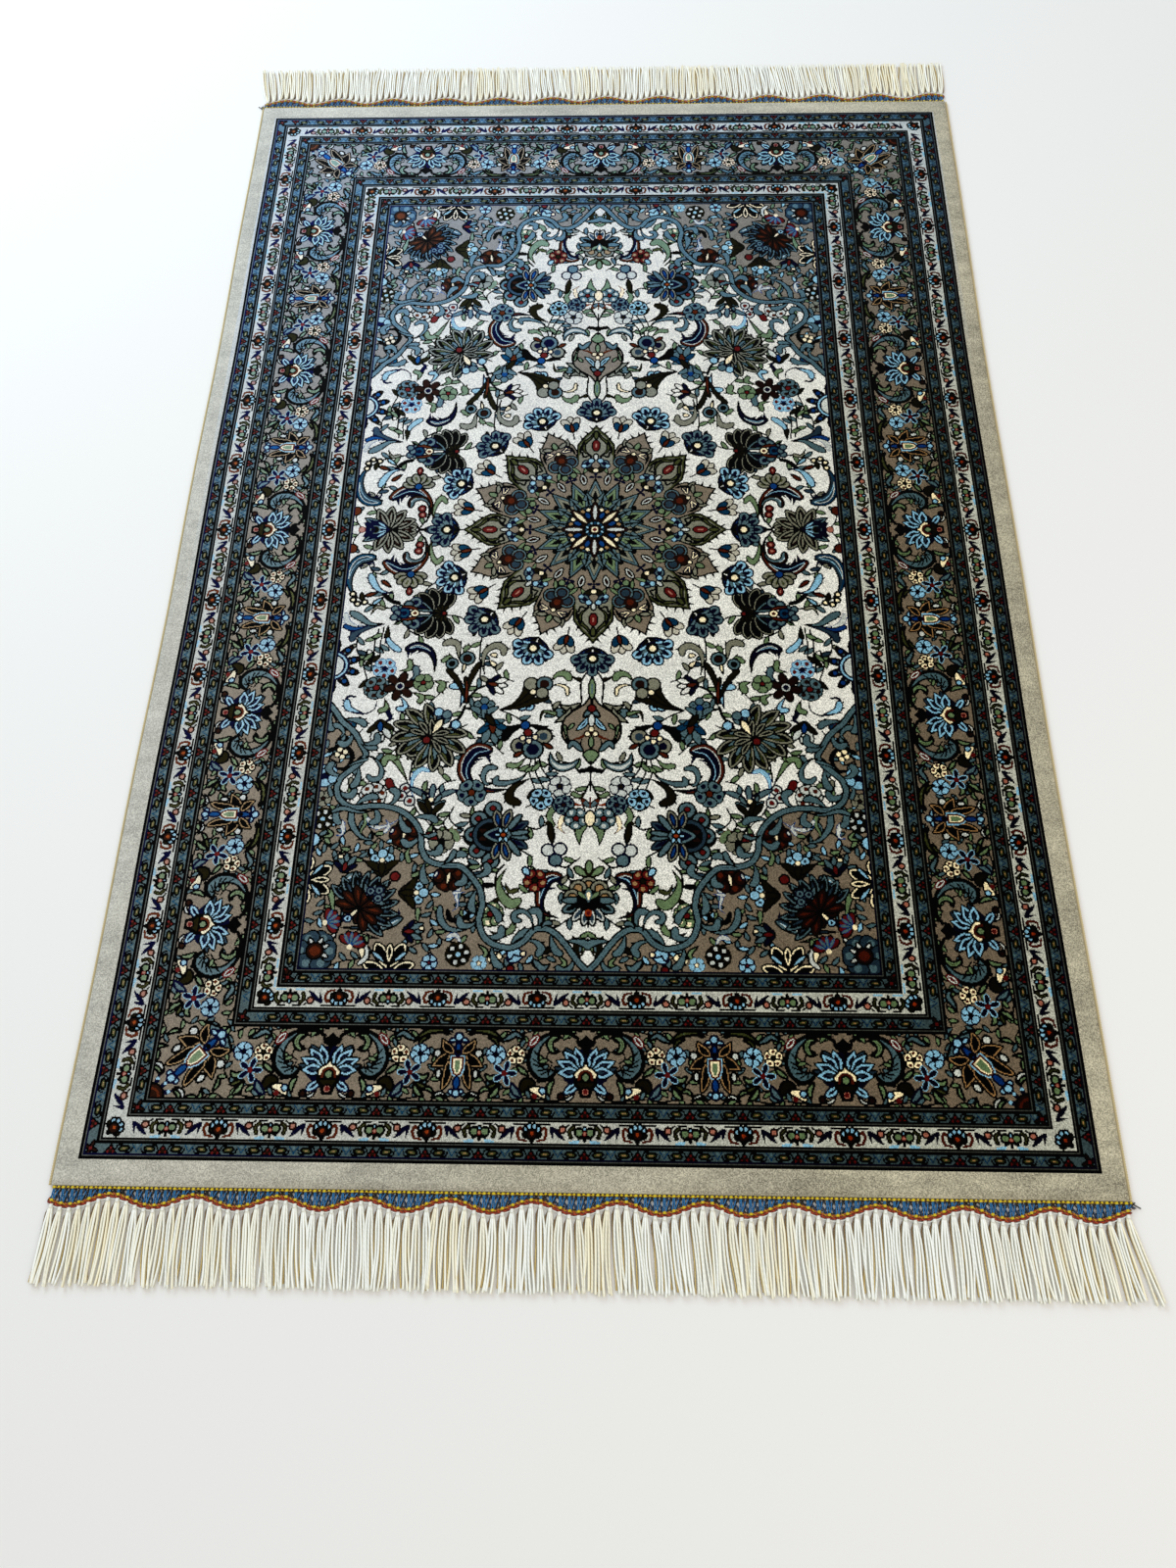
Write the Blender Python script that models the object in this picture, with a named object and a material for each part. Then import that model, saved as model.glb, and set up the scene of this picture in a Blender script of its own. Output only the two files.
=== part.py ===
"""Hand-knotted silk rug, about 100 by 150 cm, lying flat with its fringe combed out.

Metres, +Z up. The origin is on the floor under the middle of the rug, and +Y runs along its
length. One flat carpet slab carries a rounded binding on each long side. Each end has a scalloped
needle-lace trim, a gold and a maroon edging cord along the scallops, and a fringe of tassels.
"""

import math

import bpy

# Carpet: foundation and clipped pile together.
PILE_LENGTH = 1.502
PILE_WIDTH = 0.9930
PILE_THICKNESS = 0.0045
PILE_ROLL = 0.0008
SIDE_STATIONS = 31

# The long sides draw in towards the middle, and ripple a little.
WAIST = 0.0042
RIPPLE_HEIGHT = 0.0008
RIPPLES = {"left": (3.5, 0.4), "right": (2.5, 1.9)}  # side: waves along the length, phase in radians

# Side bindings: an overcast core along each long side.
BINDING_DIAMETER = 0.0030

# End trims: needle lace with a scalloped outer edge, edged by two cords.
TRIM_THICKNESS = 0.0014
TRIM_SHALLOW = 0.0051
TRIM_DEEP = 0.0148
SCALLOP_PITCH = 0.0786
SCALLOP_START = -0.0068
STATIONS_PER_SCALLOP = 6
CORD_DIAMETER = 0.0017

# Fringe: one tassel after another along a narrow heading that follows the scallops.
TASSELS_PER_SCALLOP = 9
HEADING_WIDTH = 0.0026
HEAD_WIDTH = 0.0048
TIP_WIDTH = 0.0072
FRINGE_REACH = 0.0850
FRINGE_THICKNESS = 0.0030
TIP_UNEVENNESS = 0.0008
LEAN = 0.0060
LEAN_WAVE = 0.36
CORNER_WIDTH = 0.035
CORNER_SPLAY = 0.0140
CORNER_SHEAR = 0.0040

GAP = 0.0003  # between neighbouring pieces
FLAT_SHARE = math.cos(math.pi / 6)  # a six-sided cord lies on a flat, this share of its radius down

# name: colour, roughness
MATERIALS = {
    "silk_pile": ((0.44, 0.45, 0.42, 1.0), 0.55),
    "binding_silk": ((0.62, 0.52, 0.30, 1.0), 0.60),
    "blue_lace": ((0.06, 0.17, 0.42, 1.0), 0.55),
    "gold_cord": ((0.62, 0.30, 0.03, 1.0), 0.50),
    "maroon_cord": ((0.26, 0.04, 0.02, 1.0), 0.50),
    "white_silk": ((0.86, 0.84, 0.76, 1.0), 0.45),
}


def clear_scene():
    for obj in list(bpy.data.objects):
        bpy.data.objects.remove(obj)


def make_material(name):
    colour, roughness = MATERIALS[name]
    material = bpy.data.materials.new(name)
    material.use_nodes = True
    shader = material.node_tree.nodes["Principled BSDF"]
    shader.inputs["Base Color"].default_value = colour
    shader.inputs["Roughness"].default_value = roughness
    shader.inputs["Metallic"].default_value = 0.0
    return material


def poly_curve(name, points, dimensions, closed):
    """A curve of straight runs through points of two or three coordinates."""
    curve = bpy.data.curves.new(name, "CURVE")
    curve.dimensions = dimensions
    spline = curve.splines.new("POLY")
    spline.points.add(len(points) - 1)
    for slot, point in zip(spline.points, points):
        slot.co = (point[0], point[1], 0.0, 1.0)
    spline.use_cyclic_u = closed
    return curve


def add_piece(collection, name, data, material, lift, turn=0.0):
    """Places a piece lift above the floor, turned about the rug's middle."""
    piece = bpy.data.objects.new(name, data)
    piece.location.z = lift
    piece.rotation_euler.z = turn
    if not data.materials:
        data.materials.append(material)
    collection.objects.link(piece)
    return piece


def flat_piece_data(name, outline, thickness, roll=0.0):
    """A flat outline of even thickness about z = 0, its rims rounded by roll."""
    curve = poly_curve(name, outline, "2D", closed=True)
    curve.fill_mode = "BOTH"
    curve.extrude = thickness / 2 - roll
    curve.bevel_depth = roll
    curve.bevel_resolution = 0
    curve.offset = -roll
    return curve


def cord_data(name, route, diameter):
    """A round cord along a flat route about z = 0."""
    curve = poly_curve(name, route, "3D", closed=False)
    curve.bevel_depth = diameter / 2
    curve.bevel_resolution = 1
    curve.use_fill_caps = True
    return curve


def half_width(side, y):
    """Distance from the middle line to the pile's edge at y, on one side."""
    along = 2 * y / PILE_LENGTH
    waves, phase = RIPPLES[side]
    ripple = RIPPLE_HEIGHT * math.sin(math.pi * waves * along + phase) * (1 - along**4)
    return PILE_WIDTH / 2 - WAIST * (1 - along * along) + ripple


def side_route(side, outward):
    """Points along one long side, from the near end to the far end, moved outward."""
    sign = -1 if side == "left" else 1
    route = []
    for station in range(SIDE_STATIONS):
        y = PILE_LENGTH * (station / (SIDE_STATIONS - 1) - 0.5)
        route.append((sign * (half_width(side, y) + outward), y))
    return route


def scallop(x):
    """Depth of the trim beyond the pile's end at x, before any edging."""
    wave = 0.5 + 0.5 * math.cos(2 * math.pi * (x - SCALLOP_START) / SCALLOP_PITCH)
    return TRIM_SHALLOW + (TRIM_DEEP - TRIM_SHALLOW) * wave


def scallop_slope(x):
    turn = 2 * math.pi / SCALLOP_PITCH
    return -0.5 * (TRIM_DEEP - TRIM_SHALLOW) * turn * math.sin(turn * (x - SCALLOP_START))


def end_point(x, out):
    """A point of the near end, out metres beyond the pile."""
    return (x, -PILE_LENGTH / 2 - GAP - out)


def scallop_stations():
    """Places across the end where the scalloped pieces have a corner."""
    half = PILE_WIDTH / 2
    step = SCALLOP_PITCH / STATIONS_PER_SCALLOP
    first = math.ceil((-half - SCALLOP_START) / step + 0.25)
    last = math.floor((half - SCALLOP_START) / step - 0.25)
    inner = [SCALLOP_START + step * k for k in range(first, last + 1)]
    return [-half, *inner, half]


def along_scallops(distance):
    """The scalloped line moved distance outwards, square to itself."""
    route = []
    for x in scallop_stations():
        slope = scallop_slope(x)
        length = math.hypot(1, slope)
        route.append(end_point(x - distance * slope / length, scallop(x) + distance / length))
    return route


def trim_outline():
    half = PILE_WIDTH / 2
    return [end_point(half, 0), end_point(-half, 0), *along_scallops(0)]


def tassel_lean(x):
    """Sideways drift of a tassel's tip. The last ones splay out at the corners."""
    drift = LEAN * (0.5 + 0.5 * math.sin(2 * math.pi * x / LEAN_WAVE))
    into_right = max(0.0, (x - PILE_WIDTH / 2) / CORNER_WIDTH + 1)
    into_left = max(0.0, (-x - PILE_WIDTH / 2) / CORNER_WIDTH + 1)
    return drift * (1 - into_left) + CORNER_SPLAY * into_right**2 - CORNER_SHEAR * into_left**2


def fringe_outline():
    """A comb: the heading's inner edge, then down and up each tassel."""
    inner = 2 * CORD_DIAMETER + 3 * GAP
    outline = along_scallops(inner)
    pitch = SCALLOP_PITCH / TASSELS_PER_SCALLOP
    count = int((PILE_WIDTH - HEAD_WIDTH) / pitch) + 1
    for k in reversed(range(count)):
        middle = (k - (count - 1) / 2) * pitch
        tip = middle + tassel_lean(middle)
        reach = FRINGE_REACH + TIP_UNEVENNESS * math.sin(2.4 * k)
        for side in (1, -1):
            root = middle + side * HEAD_WIDTH / 2
            slope = scallop_slope(root)
            heading = scallop(root) + (inner + HEADING_WIDTH) * math.hypot(1, slope)
            corners = [end_point(root, heading), end_point(tip + side * TIP_WIDTH / 2, reach)]
            outline.extend(corners if side == 1 else reversed(corners))
    return outline


def add_carpet(collection, materials):
    outline = side_route("left", 0) + side_route("right", 0)[::-1]
    data = flat_piece_data("carpet", outline, PILE_THICKNESS, PILE_ROLL)
    add_piece(collection, "carpet", data, materials["silk_pile"], PILE_THICKNESS / 2)


def add_bindings(collection, materials):
    radius = BINDING_DIAMETER / 2
    for side in RIPPLES:
        data = cord_data(f"binding_{side}", side_route(side, GAP + radius), BINDING_DIAMETER)
        add_piece(collection, f"binding_{side}", data, materials["binding_silk"], radius * FLAT_SHARE)


def add_ends(collection, materials):
    """The far end is the near one turned half round."""
    radius = CORD_DIAMETER / 2
    trim = flat_piece_data("trim", trim_outline(), TRIM_THICKNESS)
    gold = cord_data("gold_cord", along_scallops(GAP + radius), CORD_DIAMETER)
    maroon = cord_data("maroon_cord", along_scallops(2 * GAP + 3 * radius), CORD_DIAMETER)
    fringe = flat_piece_data("fringe", fringe_outline(), FRINGE_THICKNESS)
    pieces = (
        ("trim", trim, "blue_lace", TRIM_THICKNESS / 2),
        ("gold_cord", gold, "gold_cord", radius * FLAT_SHARE),
        ("maroon_cord", maroon, "maroon_cord", radius * FLAT_SHARE),
        ("fringe", fringe, "white_silk", FRINGE_THICKNESS / 2),
    )
    for end, turn in (("near", 0.0), ("far", math.pi)):
        for name, data, material, lift in pieces:
            add_piece(collection, f"{name}_{end}", data, materials[material], lift, turn)


def main():
    clear_scene()
    collection = bpy.data.collections.new("persian_rug")
    bpy.context.scene.collection.children.link(collection)
    materials = {name: make_material(name) for name in MATERIALS}
    add_carpet(collection, materials)
    add_bindings(collection, materials)
    add_ends(collection, materials)


main()
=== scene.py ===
"""Hand-knotted silk rug of about 100 by 150 cm, lying flat, as a Blender 4.5 add-on run as a script.

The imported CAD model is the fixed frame, in metres: +Z is up, and +Y runs along the rug. The pile
and its foundation are woven knot by knot from a cartoon drawn below. Side bindings, lace ends,
edging cords and the fringe are threads that follow the CAD pieces' own lines.
"""

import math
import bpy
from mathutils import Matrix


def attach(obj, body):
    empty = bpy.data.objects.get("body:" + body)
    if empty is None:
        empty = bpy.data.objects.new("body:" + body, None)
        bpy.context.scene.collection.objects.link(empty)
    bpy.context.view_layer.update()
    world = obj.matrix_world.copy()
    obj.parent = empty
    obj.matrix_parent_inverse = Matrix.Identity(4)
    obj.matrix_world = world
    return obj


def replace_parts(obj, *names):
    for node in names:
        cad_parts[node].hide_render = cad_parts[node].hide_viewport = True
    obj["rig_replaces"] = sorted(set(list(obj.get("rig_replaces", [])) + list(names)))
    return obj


bl_info = {
    "name": "Knotted Silk Rug",
    "version": (1, 0, 0),
    "blender": (4, 5, 0),
    "location": "3D View > Sidebar > Rug",
    "description": "Weaves a hand-knotted silk rug with lace ends and a tasselled fringe",
    "category": "Add Mesh",
}

import bpy
import numpy as np
from bpy.props import FloatProperty, FloatVectorProperty, PointerProperty

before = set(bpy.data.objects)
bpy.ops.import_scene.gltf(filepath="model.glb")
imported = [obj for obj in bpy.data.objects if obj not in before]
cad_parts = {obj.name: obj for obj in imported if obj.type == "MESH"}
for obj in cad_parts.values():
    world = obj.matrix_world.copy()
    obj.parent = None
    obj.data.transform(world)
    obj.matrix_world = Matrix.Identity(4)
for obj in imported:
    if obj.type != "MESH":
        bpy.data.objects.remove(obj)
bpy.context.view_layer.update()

# ---------------------------------------------------------------- the weaver's cartoon
# One quarter of the design is drawn on a grid of knots, one colour to a knot, and the other
# three mirror it. Lengths on the cartoon are in steps of 1.14 mm, from the middle of the carpet.

COLUMNS = 525  # knots across a quarter
ROWS = 792  # knots along a quarter
ACROSS = 435.5  # a quarter's width, in steps
ALONG = 658.8  # a quarter's length, in steps
KNOT = ALONG / ROWS

DYES = {
    "ivory": (0.885, 0.893, 0.895),
    "black": (0.010, 0.008, 0.008),
    "navy": (0.025, 0.040, 0.190),
    "slate": (0.400, 0.495, 0.530),
    "sky": (0.610, 0.765, 0.860),
    "blue": (0.105, 0.310, 0.540),
    "teal": (0.085, 0.290, 0.410),
    "sage": (0.490, 0.570, 0.460),
    "olive": (0.140, 0.125, 0.045),
    "moss": (0.330, 0.350, 0.220),
    "rust": (0.380, 0.180, 0.095),
    "orange": (0.610, 0.300, 0.140),
    "maroon": (0.430, 0.145, 0.140),
    "pink": (0.700, 0.520, 0.470),
    "taupe": (0.560, 0.525, 0.480),
    "tan": (0.660, 0.560, 0.430),
    "grey": (0.560, 0.565, 0.520),
    "cream": (0.935, 0.905, 0.810),
    "stone": (0.765, 0.762, 0.730),
    "guard": (0.765, 0.780, 0.770),
    "stripe": (0.350, 0.420, 0.440),
    "steel": (0.220, 0.300, 0.360),
    "silver": (0.790, 0.815, 0.820),
    "umber": (0.180, 0.095, 0.060),
    "ash": (0.360, 0.375, 0.365),
}
OUTLINE = 0.5  # a dark outline spreads this much beyond its shape
OUTLINE_DYES = ("black", "navy", "olive", "umber")
DYE_NUMBERS = {name: number for number, name in enumerate(DYES)}


def spots(points):
    """Points as an array. A text holds one "x,y" for each."""
    if isinstance(points, str):
        points = [spot.split(",") for spot in points.split()]
    return np.array(points, float)


def chart(text):
    """A chart's rows, each a list of what stands between its bars, or that itself where it stands alone."""
    rows = [[cell.strip() for cell in row.split("|")] for row in text.strip().splitlines()]
    rows = [[float(cell) if cell.replace(".", "").isdigit() else cell for cell in row] for row in rows]
    return [row if len(row) > 1 else row[0] for row in rows]


def smooth(points, closed=False, steps=6):
    """A curve that passes smoothly through the points."""
    p = spots(points)
    if closed:
        p = np.vstack([p[-1:], p, p[:2]])
    else:
        p = np.vstack([2 * p[:1] - p[1:2], p, 2 * p[-1:] - p[-2:-1]])
    a, b, c, d = (p[k : len(p) - 3 + k, None, :] for k in range(4))
    t = (np.arange(steps) / steps)[None, :, None]
    curve = 0.5 * (2 * b + (c - a) * t + (2 * a - 5 * b + 4 * c - d) * t**2 + (3 * b - a - 3 * c + d) * t**3)
    curve = curve.reshape(-1, 2)
    return curve if closed else np.vstack([curve, p[-2:-1]])


def lengths_along(line):
    """The share of the line's length at each of its points, from 0 to 1."""
    steps = np.hypot(*np.diff(line, axis=0).T)
    return np.append(0, np.cumsum(steps)) / max(steps.sum(), 1e-9)


TAPERS = {
    "even": lambda s: np.ones_like(s),
    "leaf": lambda s: np.abs(np.sin(np.pi * s)) ** 0.8,
    "petal": lambda s: np.abs(np.sin(np.pi * s**1.5)) ** 0.8,
    "drop": lambda s: np.sqrt(np.clip(1 - (2 * s**0.75 - 1) ** 2, 0, 1)) * (0.25 + 0.75 * s),
    "egg": lambda s: np.sqrt(np.clip(1 - (2 * s - 1) ** 2, 0, 1)),
    "whip": lambda s: 1 - 0.92 * s,
    "horn": lambda s: np.abs(np.sin(np.pi * s**0.45)) ** 0.9,
    "kite": lambda s: np.clip(2 * np.minimum(s, 1 - s), 0, 1) ** 0.85,
    "thorn": lambda s: 1 - s,
}


class Cartoon:
    """A grid of knots, each holding the number of a dye."""

    def __init__(self):
        self.knots = np.full((ROWS, COLUMNS), DYE_NUMBERS["stone"], np.uint8)
        self.x = (np.arange(COLUMNS) + 0.5) * ACROSS / COLUMNS
        self.y = (np.arange(ROWS) + 0.5) * ALONG / ROWS
        self.limit = None

    def window(self, low, high):
        """The part of the grid between two corners, or None where it has no knots."""
        i0, i1 = np.searchsorted(self.x, (low[0], high[0]))
        j0, j1 = np.searchsorted(self.y, (low[1], high[1]))
        if i0 >= i1 or j0 >= j1:
            return None
        return slice(j0, j1), slice(i0, i1)

    def colour(self, window, depth, rings):
        """Dyes the knots with a depth above 0: dye, width, dye, width, ..., dye, from the edge inwards."""
        words = rings.split()
        limits = np.cumsum(np.array(words[1::2], float))
        if len(limits) and words[0] in OUTLINE_DYES:
            depth = depth + OUTLINE
            limits += 1.6 * OUTLINE
        dyes = np.array([DYE_NUMBERS[name] for name in words[0::2]], np.uint8)
        found = dyes[np.searchsorted(limits, depth)]
        drawn = depth > 0
        if self.limit is not None:
            drawn &= self.limit[window]
        np.copyto(self.knots[window], found, where=drawn)

    def stroke(self, line, half, rings, sides=None):
        """A line with a half width at each point. Where sides is given, its right side has those rings."""
        window = self.window((line - half[:, None]).min(0) - OUTLINE, (line + half[:, None]).max(0) + OUTLINE)
        if window is None:
            return
        x = self.x[window[1]][None, :]
        y = self.y[window[0]][:, None]
        depth = np.full((y.size, x.size), -np.inf)
        right = np.zeros(depth.shape, bool)
        for a, b, wide, wider in zip(line[:-1], line[1:], half[:-1], half[1:]):
            along = b - a
            length = max(float(along @ along), 1e-9)
            share = np.clip(((x - a[0]) * along[0] + (y - a[1]) * along[1]) / length, 0, 1)
            dx = x - a[0] - share * along[0]
            dy = y - a[1] - share * along[1]
            here = wide + share * (wider - wide) - np.hypot(dx, dy)
            if sides:
                right = np.where(here > depth, along[0] * dy - along[1] * dx < 0, right)
            depth = np.maximum(depth, here)
        self.colour(window, depth, rings)
        if sides:
            self.colour(window, np.where(right, depth, -9), sides)

    def area(self, outline, rings):
        """A closed outline, filled."""
        window = self.window(outline.min(0) - OUTLINE, outline.max(0) + OUTLINE)
        if window is None:
            return
        x = self.x[window[1]][None, :]
        y = self.y[window[0]][:, None]
        inside = np.zeros((y.size, x.size), bool)
        nearest = np.full(inside.shape, np.inf)
        for a, b in zip(outline, np.roll(outline, -1, axis=0)):
            along = b - a
            if a[1] != b[1]:
                crosses = (a[1] > y) != (b[1] > y)
                inside ^= crosses & (x < a[0] + (y - a[1]) * along[0] / along[1])
            share = ((x - a[0]) * along[0] + (y - a[1]) * along[1]) / max(float(along @ along), 1e-9)
            share = np.clip(share, 0, 1)
            nearest = np.minimum(nearest, np.hypot(x - a[0] - share * along[0], y - a[1] - share * along[1]))
        self.colour(window, np.where(inside, nearest, -nearest), rings)


class Spot:
    """A place on the cartoon with a direction and a size, from which a motif is drawn."""

    def __init__(self, cartoon, x, y, turn=0.0, size=1.0, flip=1):
        self.cartoon, self.turn, self.size, self.flip = cartoon, turn, size, flip
        along = size * np.array([np.cos(np.radians(turn)), np.sin(np.radians(turn))])
        self.axes = np.array([along, (-flip * along[1], flip * along[0])])
        self.origin = np.array([x, y], float)

    def place(self, points):
        """The points, given from this spot, on the cartoon."""
        return spots(points) @ self.axes + self.origin

    def at(self, x, y, turn=0.0, size=1.0, flip=1):
        """Another spot, placed from this one."""
        turn = self.turn + self.flip * turn
        return Spot(self.cartoon, *self.place((x, y)), turn, self.size * size, self.flip * flip)

    def line(self, path, width, rings, taper="even", sides=None):
        """A smooth path, drawn with a width that tapers."""
        if sides and self.flip < 0:
            rings, sides = sides, rings
        line = self.place(smooth(path))
        half = 0.5 * width * self.size * TAPERS[taper](lengths_along(line))
        self.cartoon.stroke(line, half, rings, sides)

    def blade(self, x, y, turn, length, width, rings, taper="petal", bend=0.0, sides=None):
        """A petal or leaf that starts at a point and grows in a direction."""
        path = [(length * t, bend * length * t * t) for t in (0, 0.35, 0.7, 1)]
        self.at(x, y, turn).line(path, width, rings, taper, sides=sides)

    def dot(self, x, y, radius, rings):
        """A round spot."""
        centre = self.place([(x, y)])
        self.cartoon.stroke(np.repeat(centre, 2, axis=0), np.full(2, radius * self.size), rings)

    def dots(self, centres, radius, rings):
        """Round spots alike."""
        for centre in spots(centres):
            self.dot(*centre, radius, rings)

    def shape(self, points, rings, curved=True):
        """A closed area, inside a smooth curve or straight lines."""
        outline = self.place(smooth(points, closed=True) if curved else points)
        self.cartoon.area(outline, rings)

    def sides(self):
        """This spot and its mirror image, for what is alike on both sides of the axis."""
        return self, self.at(0, 0, flip=-1)

    def fan(self, turns, length, width, rings, x=0.0, taper="petal", bend=0.0):
        """Petals that spread from a point, alike on both sides."""
        for turn in turns:
            for side in (1, -1) if turn else (1,):
                self.at(x, 0, flip=side).blade(0, 0, turn, length, width, rings, taper, bend=bend)


# Small flowers, buds and leaves. Each faces along its spot's x axis.

def rosette(s, radius, count, petal, heart="black", eye=None, edge="black"):
    """A round flower of disc-shaped petals, dented at the rim."""
    ring = radius * 0.60
    for k in range(count):
        t = s.at(0, 0, 360 * (k + 0.25) / count)
        for u in t.sides():
            u.dot(ring, radius * 0.15, radius * 0.33, f"{edge} 0.6 {petal}")
        t.dot(ring * 0.95, 0, radius * 0.30, petal)
        if eye:
            t.dot(ring * 1.05, 0, radius * 0.17, eye)
        t.line([(0, 0), (radius * 0.36, 0)], radius * 0.16, edge, "thorn")
    s.dot(0, 0, radius * 0.24, f"{edge} 0.5 {heart}")


def star_flower(s, radius, count, petal, edge="black", heart="maroon"):
    """A round flower of pointed petals."""
    for k in range(count):
        s.blade(0, 0, 360 * (k + 0.25) / count, radius, radius * 0.85, f"{edge} 0.7 {petal}", "drop")
    s.dot(0, 0, radius * 0.24, heart)


def carnation(s, body="sky", cup="olive"):
    """Three round petals in a dark, pointed cup."""
    for t in s.sides():
        t.dot(8, 6, 4.4, f"black 0.8 {body} 2.2 steel")
        t.blade(-6, 0, 30, 17, 7, f"black 0.6 {cup}", "leaf", bend=0.4)
        t.blade(-7, 0, 74, 11, 4.5, f"black 0.6 {cup}", "thorn", bend=-0.4)
    s.dot(12, 0, 4.6, f"black 0.8 {body}")
    s.blade(-8, 0, 0, 15, 6, f"black 0.6 {cup}", "leaf")
    s.dot(6, 0, 1.9, "cream")


def tulip(s, petal="cream", sepal="teal", heart="rust"):
    """Pointed petals between two spreading sepals."""
    s.fan((0, 20), 25, 8, f"black 0.8 {petal}", bend=0.06)
    s.fan((27,), 18, 6.5, f"black 0.6 {sepal}", x=-1, bend=0.35)
    s.fan((52,), 9, 4, f"black 0.5 {sepal}", x=-1, bend=-0.2)
    s.blade(1, 0, 0, 13, 6.5, f"black 0.7 {heart}", "leaf")


def lily_bud(s):
    """A bell with curled tips in a long dark cup."""
    s.fan((26,), 24, 6, "navy 0.8 slate", x=6, bend=0.55)
    s.blade(8, 0, 0, 18, 9, "navy 0.9 slate 2 blue", "drop")
    s.fan((60, 92), 13, 4.5, "black 0.7 slate", x=6, bend=-0.4)
    s.fan((0, 22), 20, 6, "black 0.6 olive", x=-8, bend=0.25)
    s.dot(11, 0, 2, "cream")


def dark_lily(s):
    """A dark flower of five pointed petals with pale edges, as along the borders."""
    s.fan((74,), 24, 11, "black 0.9 cream 1.2 black")
    s.fan((26,), 29, 13, "black 0.9 cream 1.2 black")
    s.blade(4, 0, 0, 22, 8, "black 0.9 cream 1.2 black")
    s.fan((50,), 22, 5, "black 1 sky", x=5)


def peony(s):
    """A tall flower of long, overlapping banded petals, seen from the side."""
    s.fan((158,), 15, 8, "navy 0.8 slate", x=2)
    for turn in (142, 118, 94, 68):
        s.fan((turn,), 29, 13, "black 0.8 grey 0.8 black", x=-4, bend=-0.3)
    s.fan((36,), 31, 13, "black 0.8 slate 1.1 black 2.2 navy", x=-4, bend=-0.25)
    for t in s.sides():
        t.dot(17, 13, 6.4, "navy 0.8 slate 2.4 navy")
        t.dot(24, 10, 5.4, "black 0.8 steel 1.2 slate")
        t.line("14,4 22,7 30,8 38,14", 4.5, "black 0.8 rust", "horn")
        t.line("31,9 37,4 43,6", 4, "black 0.7 slate", "horn")
    s.dot(17, 0, 4.6, "black 0.7 cream 1.6 rust")
    s.dot(28, 0, 6.2, "navy 0.8 teal 2.4 navy")
    s.dots("38,-5 35,0 38,5", 4.2, "navy 1.1 slate")
    s.fan((20, 50, 80, 110), 11, 4, "black 0.7 olive", x=-12)
    s.dot(-13, 0, 3, "black 0.9 maroon")


def thistle(s):
    """A dark flower of broad pointed petals round a navy heart."""
    for turn in (180, 148, 116, 86, 56):
        s.fan((turn,), 30, 13, "black 0.8 grey 1.6 black 1.8 umber", x=-2, bend=0.12, taper="leaf")
        s.fan((turn,), 22, 2.2, "grey", x=-2, bend=0.12, taper="leaf")
    s.fan((28,), 32, 10, "black 0.8 slate 1.2 navy", x=-3, taper="leaf")
    s.dot(12, 0, 11.5, "navy")
    s.fan((38, 16), 17, 3.4, "navy 0.4 sky", x=-2)
    s.dot(13, 0, 5.4, "slate 1 olive 1 black")
    s.fan((34,), 16, 6, "navy", x=12)


def feathered(s):
    """A large flower of broad curling petals, banded grey and black."""
    for turn, length in ((165, 25), (136, 31), (108, 34), (80, 36), (52, 37), (22, 35)):
        s.fan((turn,), length, 13, "black 0.8 grey 1.5 black", bend=0.45)
        s.fan((turn,), length * 0.8, 3.4, "moss", bend=0.45)
        s.fan((turn - 14,), length * 0.66, 5, "black 0.6 slate", bend=0.6)
    s.dot(6, 0, 12, "black")
    s.fan((14, 48, 84), 20, 7, "black 0.8 grey 1 black", bend=0.4)
    s.blade(3, 0, 8, 21, 8, "black 1 cream")
    s.dot(-3, 0, 4.4, "black 0.8 maroon")
    for t in s.sides():
        t.dot(27, 11, 5, "navy 0.8 sky")
    s.dot(30, 3, 5, "navy 0.8 slate")


def scalloped(s):
    """A broad flower with a lobed edge, a spotted rim and an eye."""
    for turn in (0, 34, 68):
        for side in (1, -1) if turn else (1,):
            t = s.at(0, 0, side * turn)
            t.dot(28, 0, 8.5, "black 1.1 slate")
            t.dot(29, 0, 3, "black 0.7 maroon")
    s.dot(12, 0, 17, "black 1 steel 3 black")
    s.fan((62, 92), 26, 10, "black 0.8 grey 1.2 navy 1.6 blue", bend=0.2)
    s.fan((150,), 27, 9, "black 0.8 steel 1.6 navy")
    s.fan((128,), 26, 11, "black 1.1 slate", taper="drop")
    s.fan((172,), 24, 10, "black 1.1 slate", taper="drop")
    s.fan((20,), 16, 7, "black 0.8 umber", x=8)
    s.shape("-8,0 0,8 10,7 19,0 10,-7 0,-8", "black 0.9 slate 2 navy")
    s.fan((0, 60, 120), 8, 4, "black 0.5 sky")
    s.dot(0, 0, 3, "black 0.8 orange")


def jewel(s):
    """A round dark flower with slate wings, as on the long axis."""
    for turn in (0, 40, 80):
        for side in (1, -1) if turn else (1,):
            s.at(0, 0, side * turn).dot(15, 0, 8.5, "black 1 grey 2.2 black 1.6 tan")
    s.fan((115,), 26, 11, "black 1.1 slate 1.8 black")
    s.fan((90,), 25, 8, "black 1.1 slate")
    s.fan((145, 170), 25, 9, "black 1.1 silver 1.2 steel")
    s.dot(0, 0, 11, "black")
    s.fan((0, 50), 13, 5, "black 0.6 sage")
    s.blade(-3, 0, 0, 13, 6, "slate 1.4 cream")
    s.dot(-12, 0, 3.4, "orange 1.4 maroon")


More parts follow.
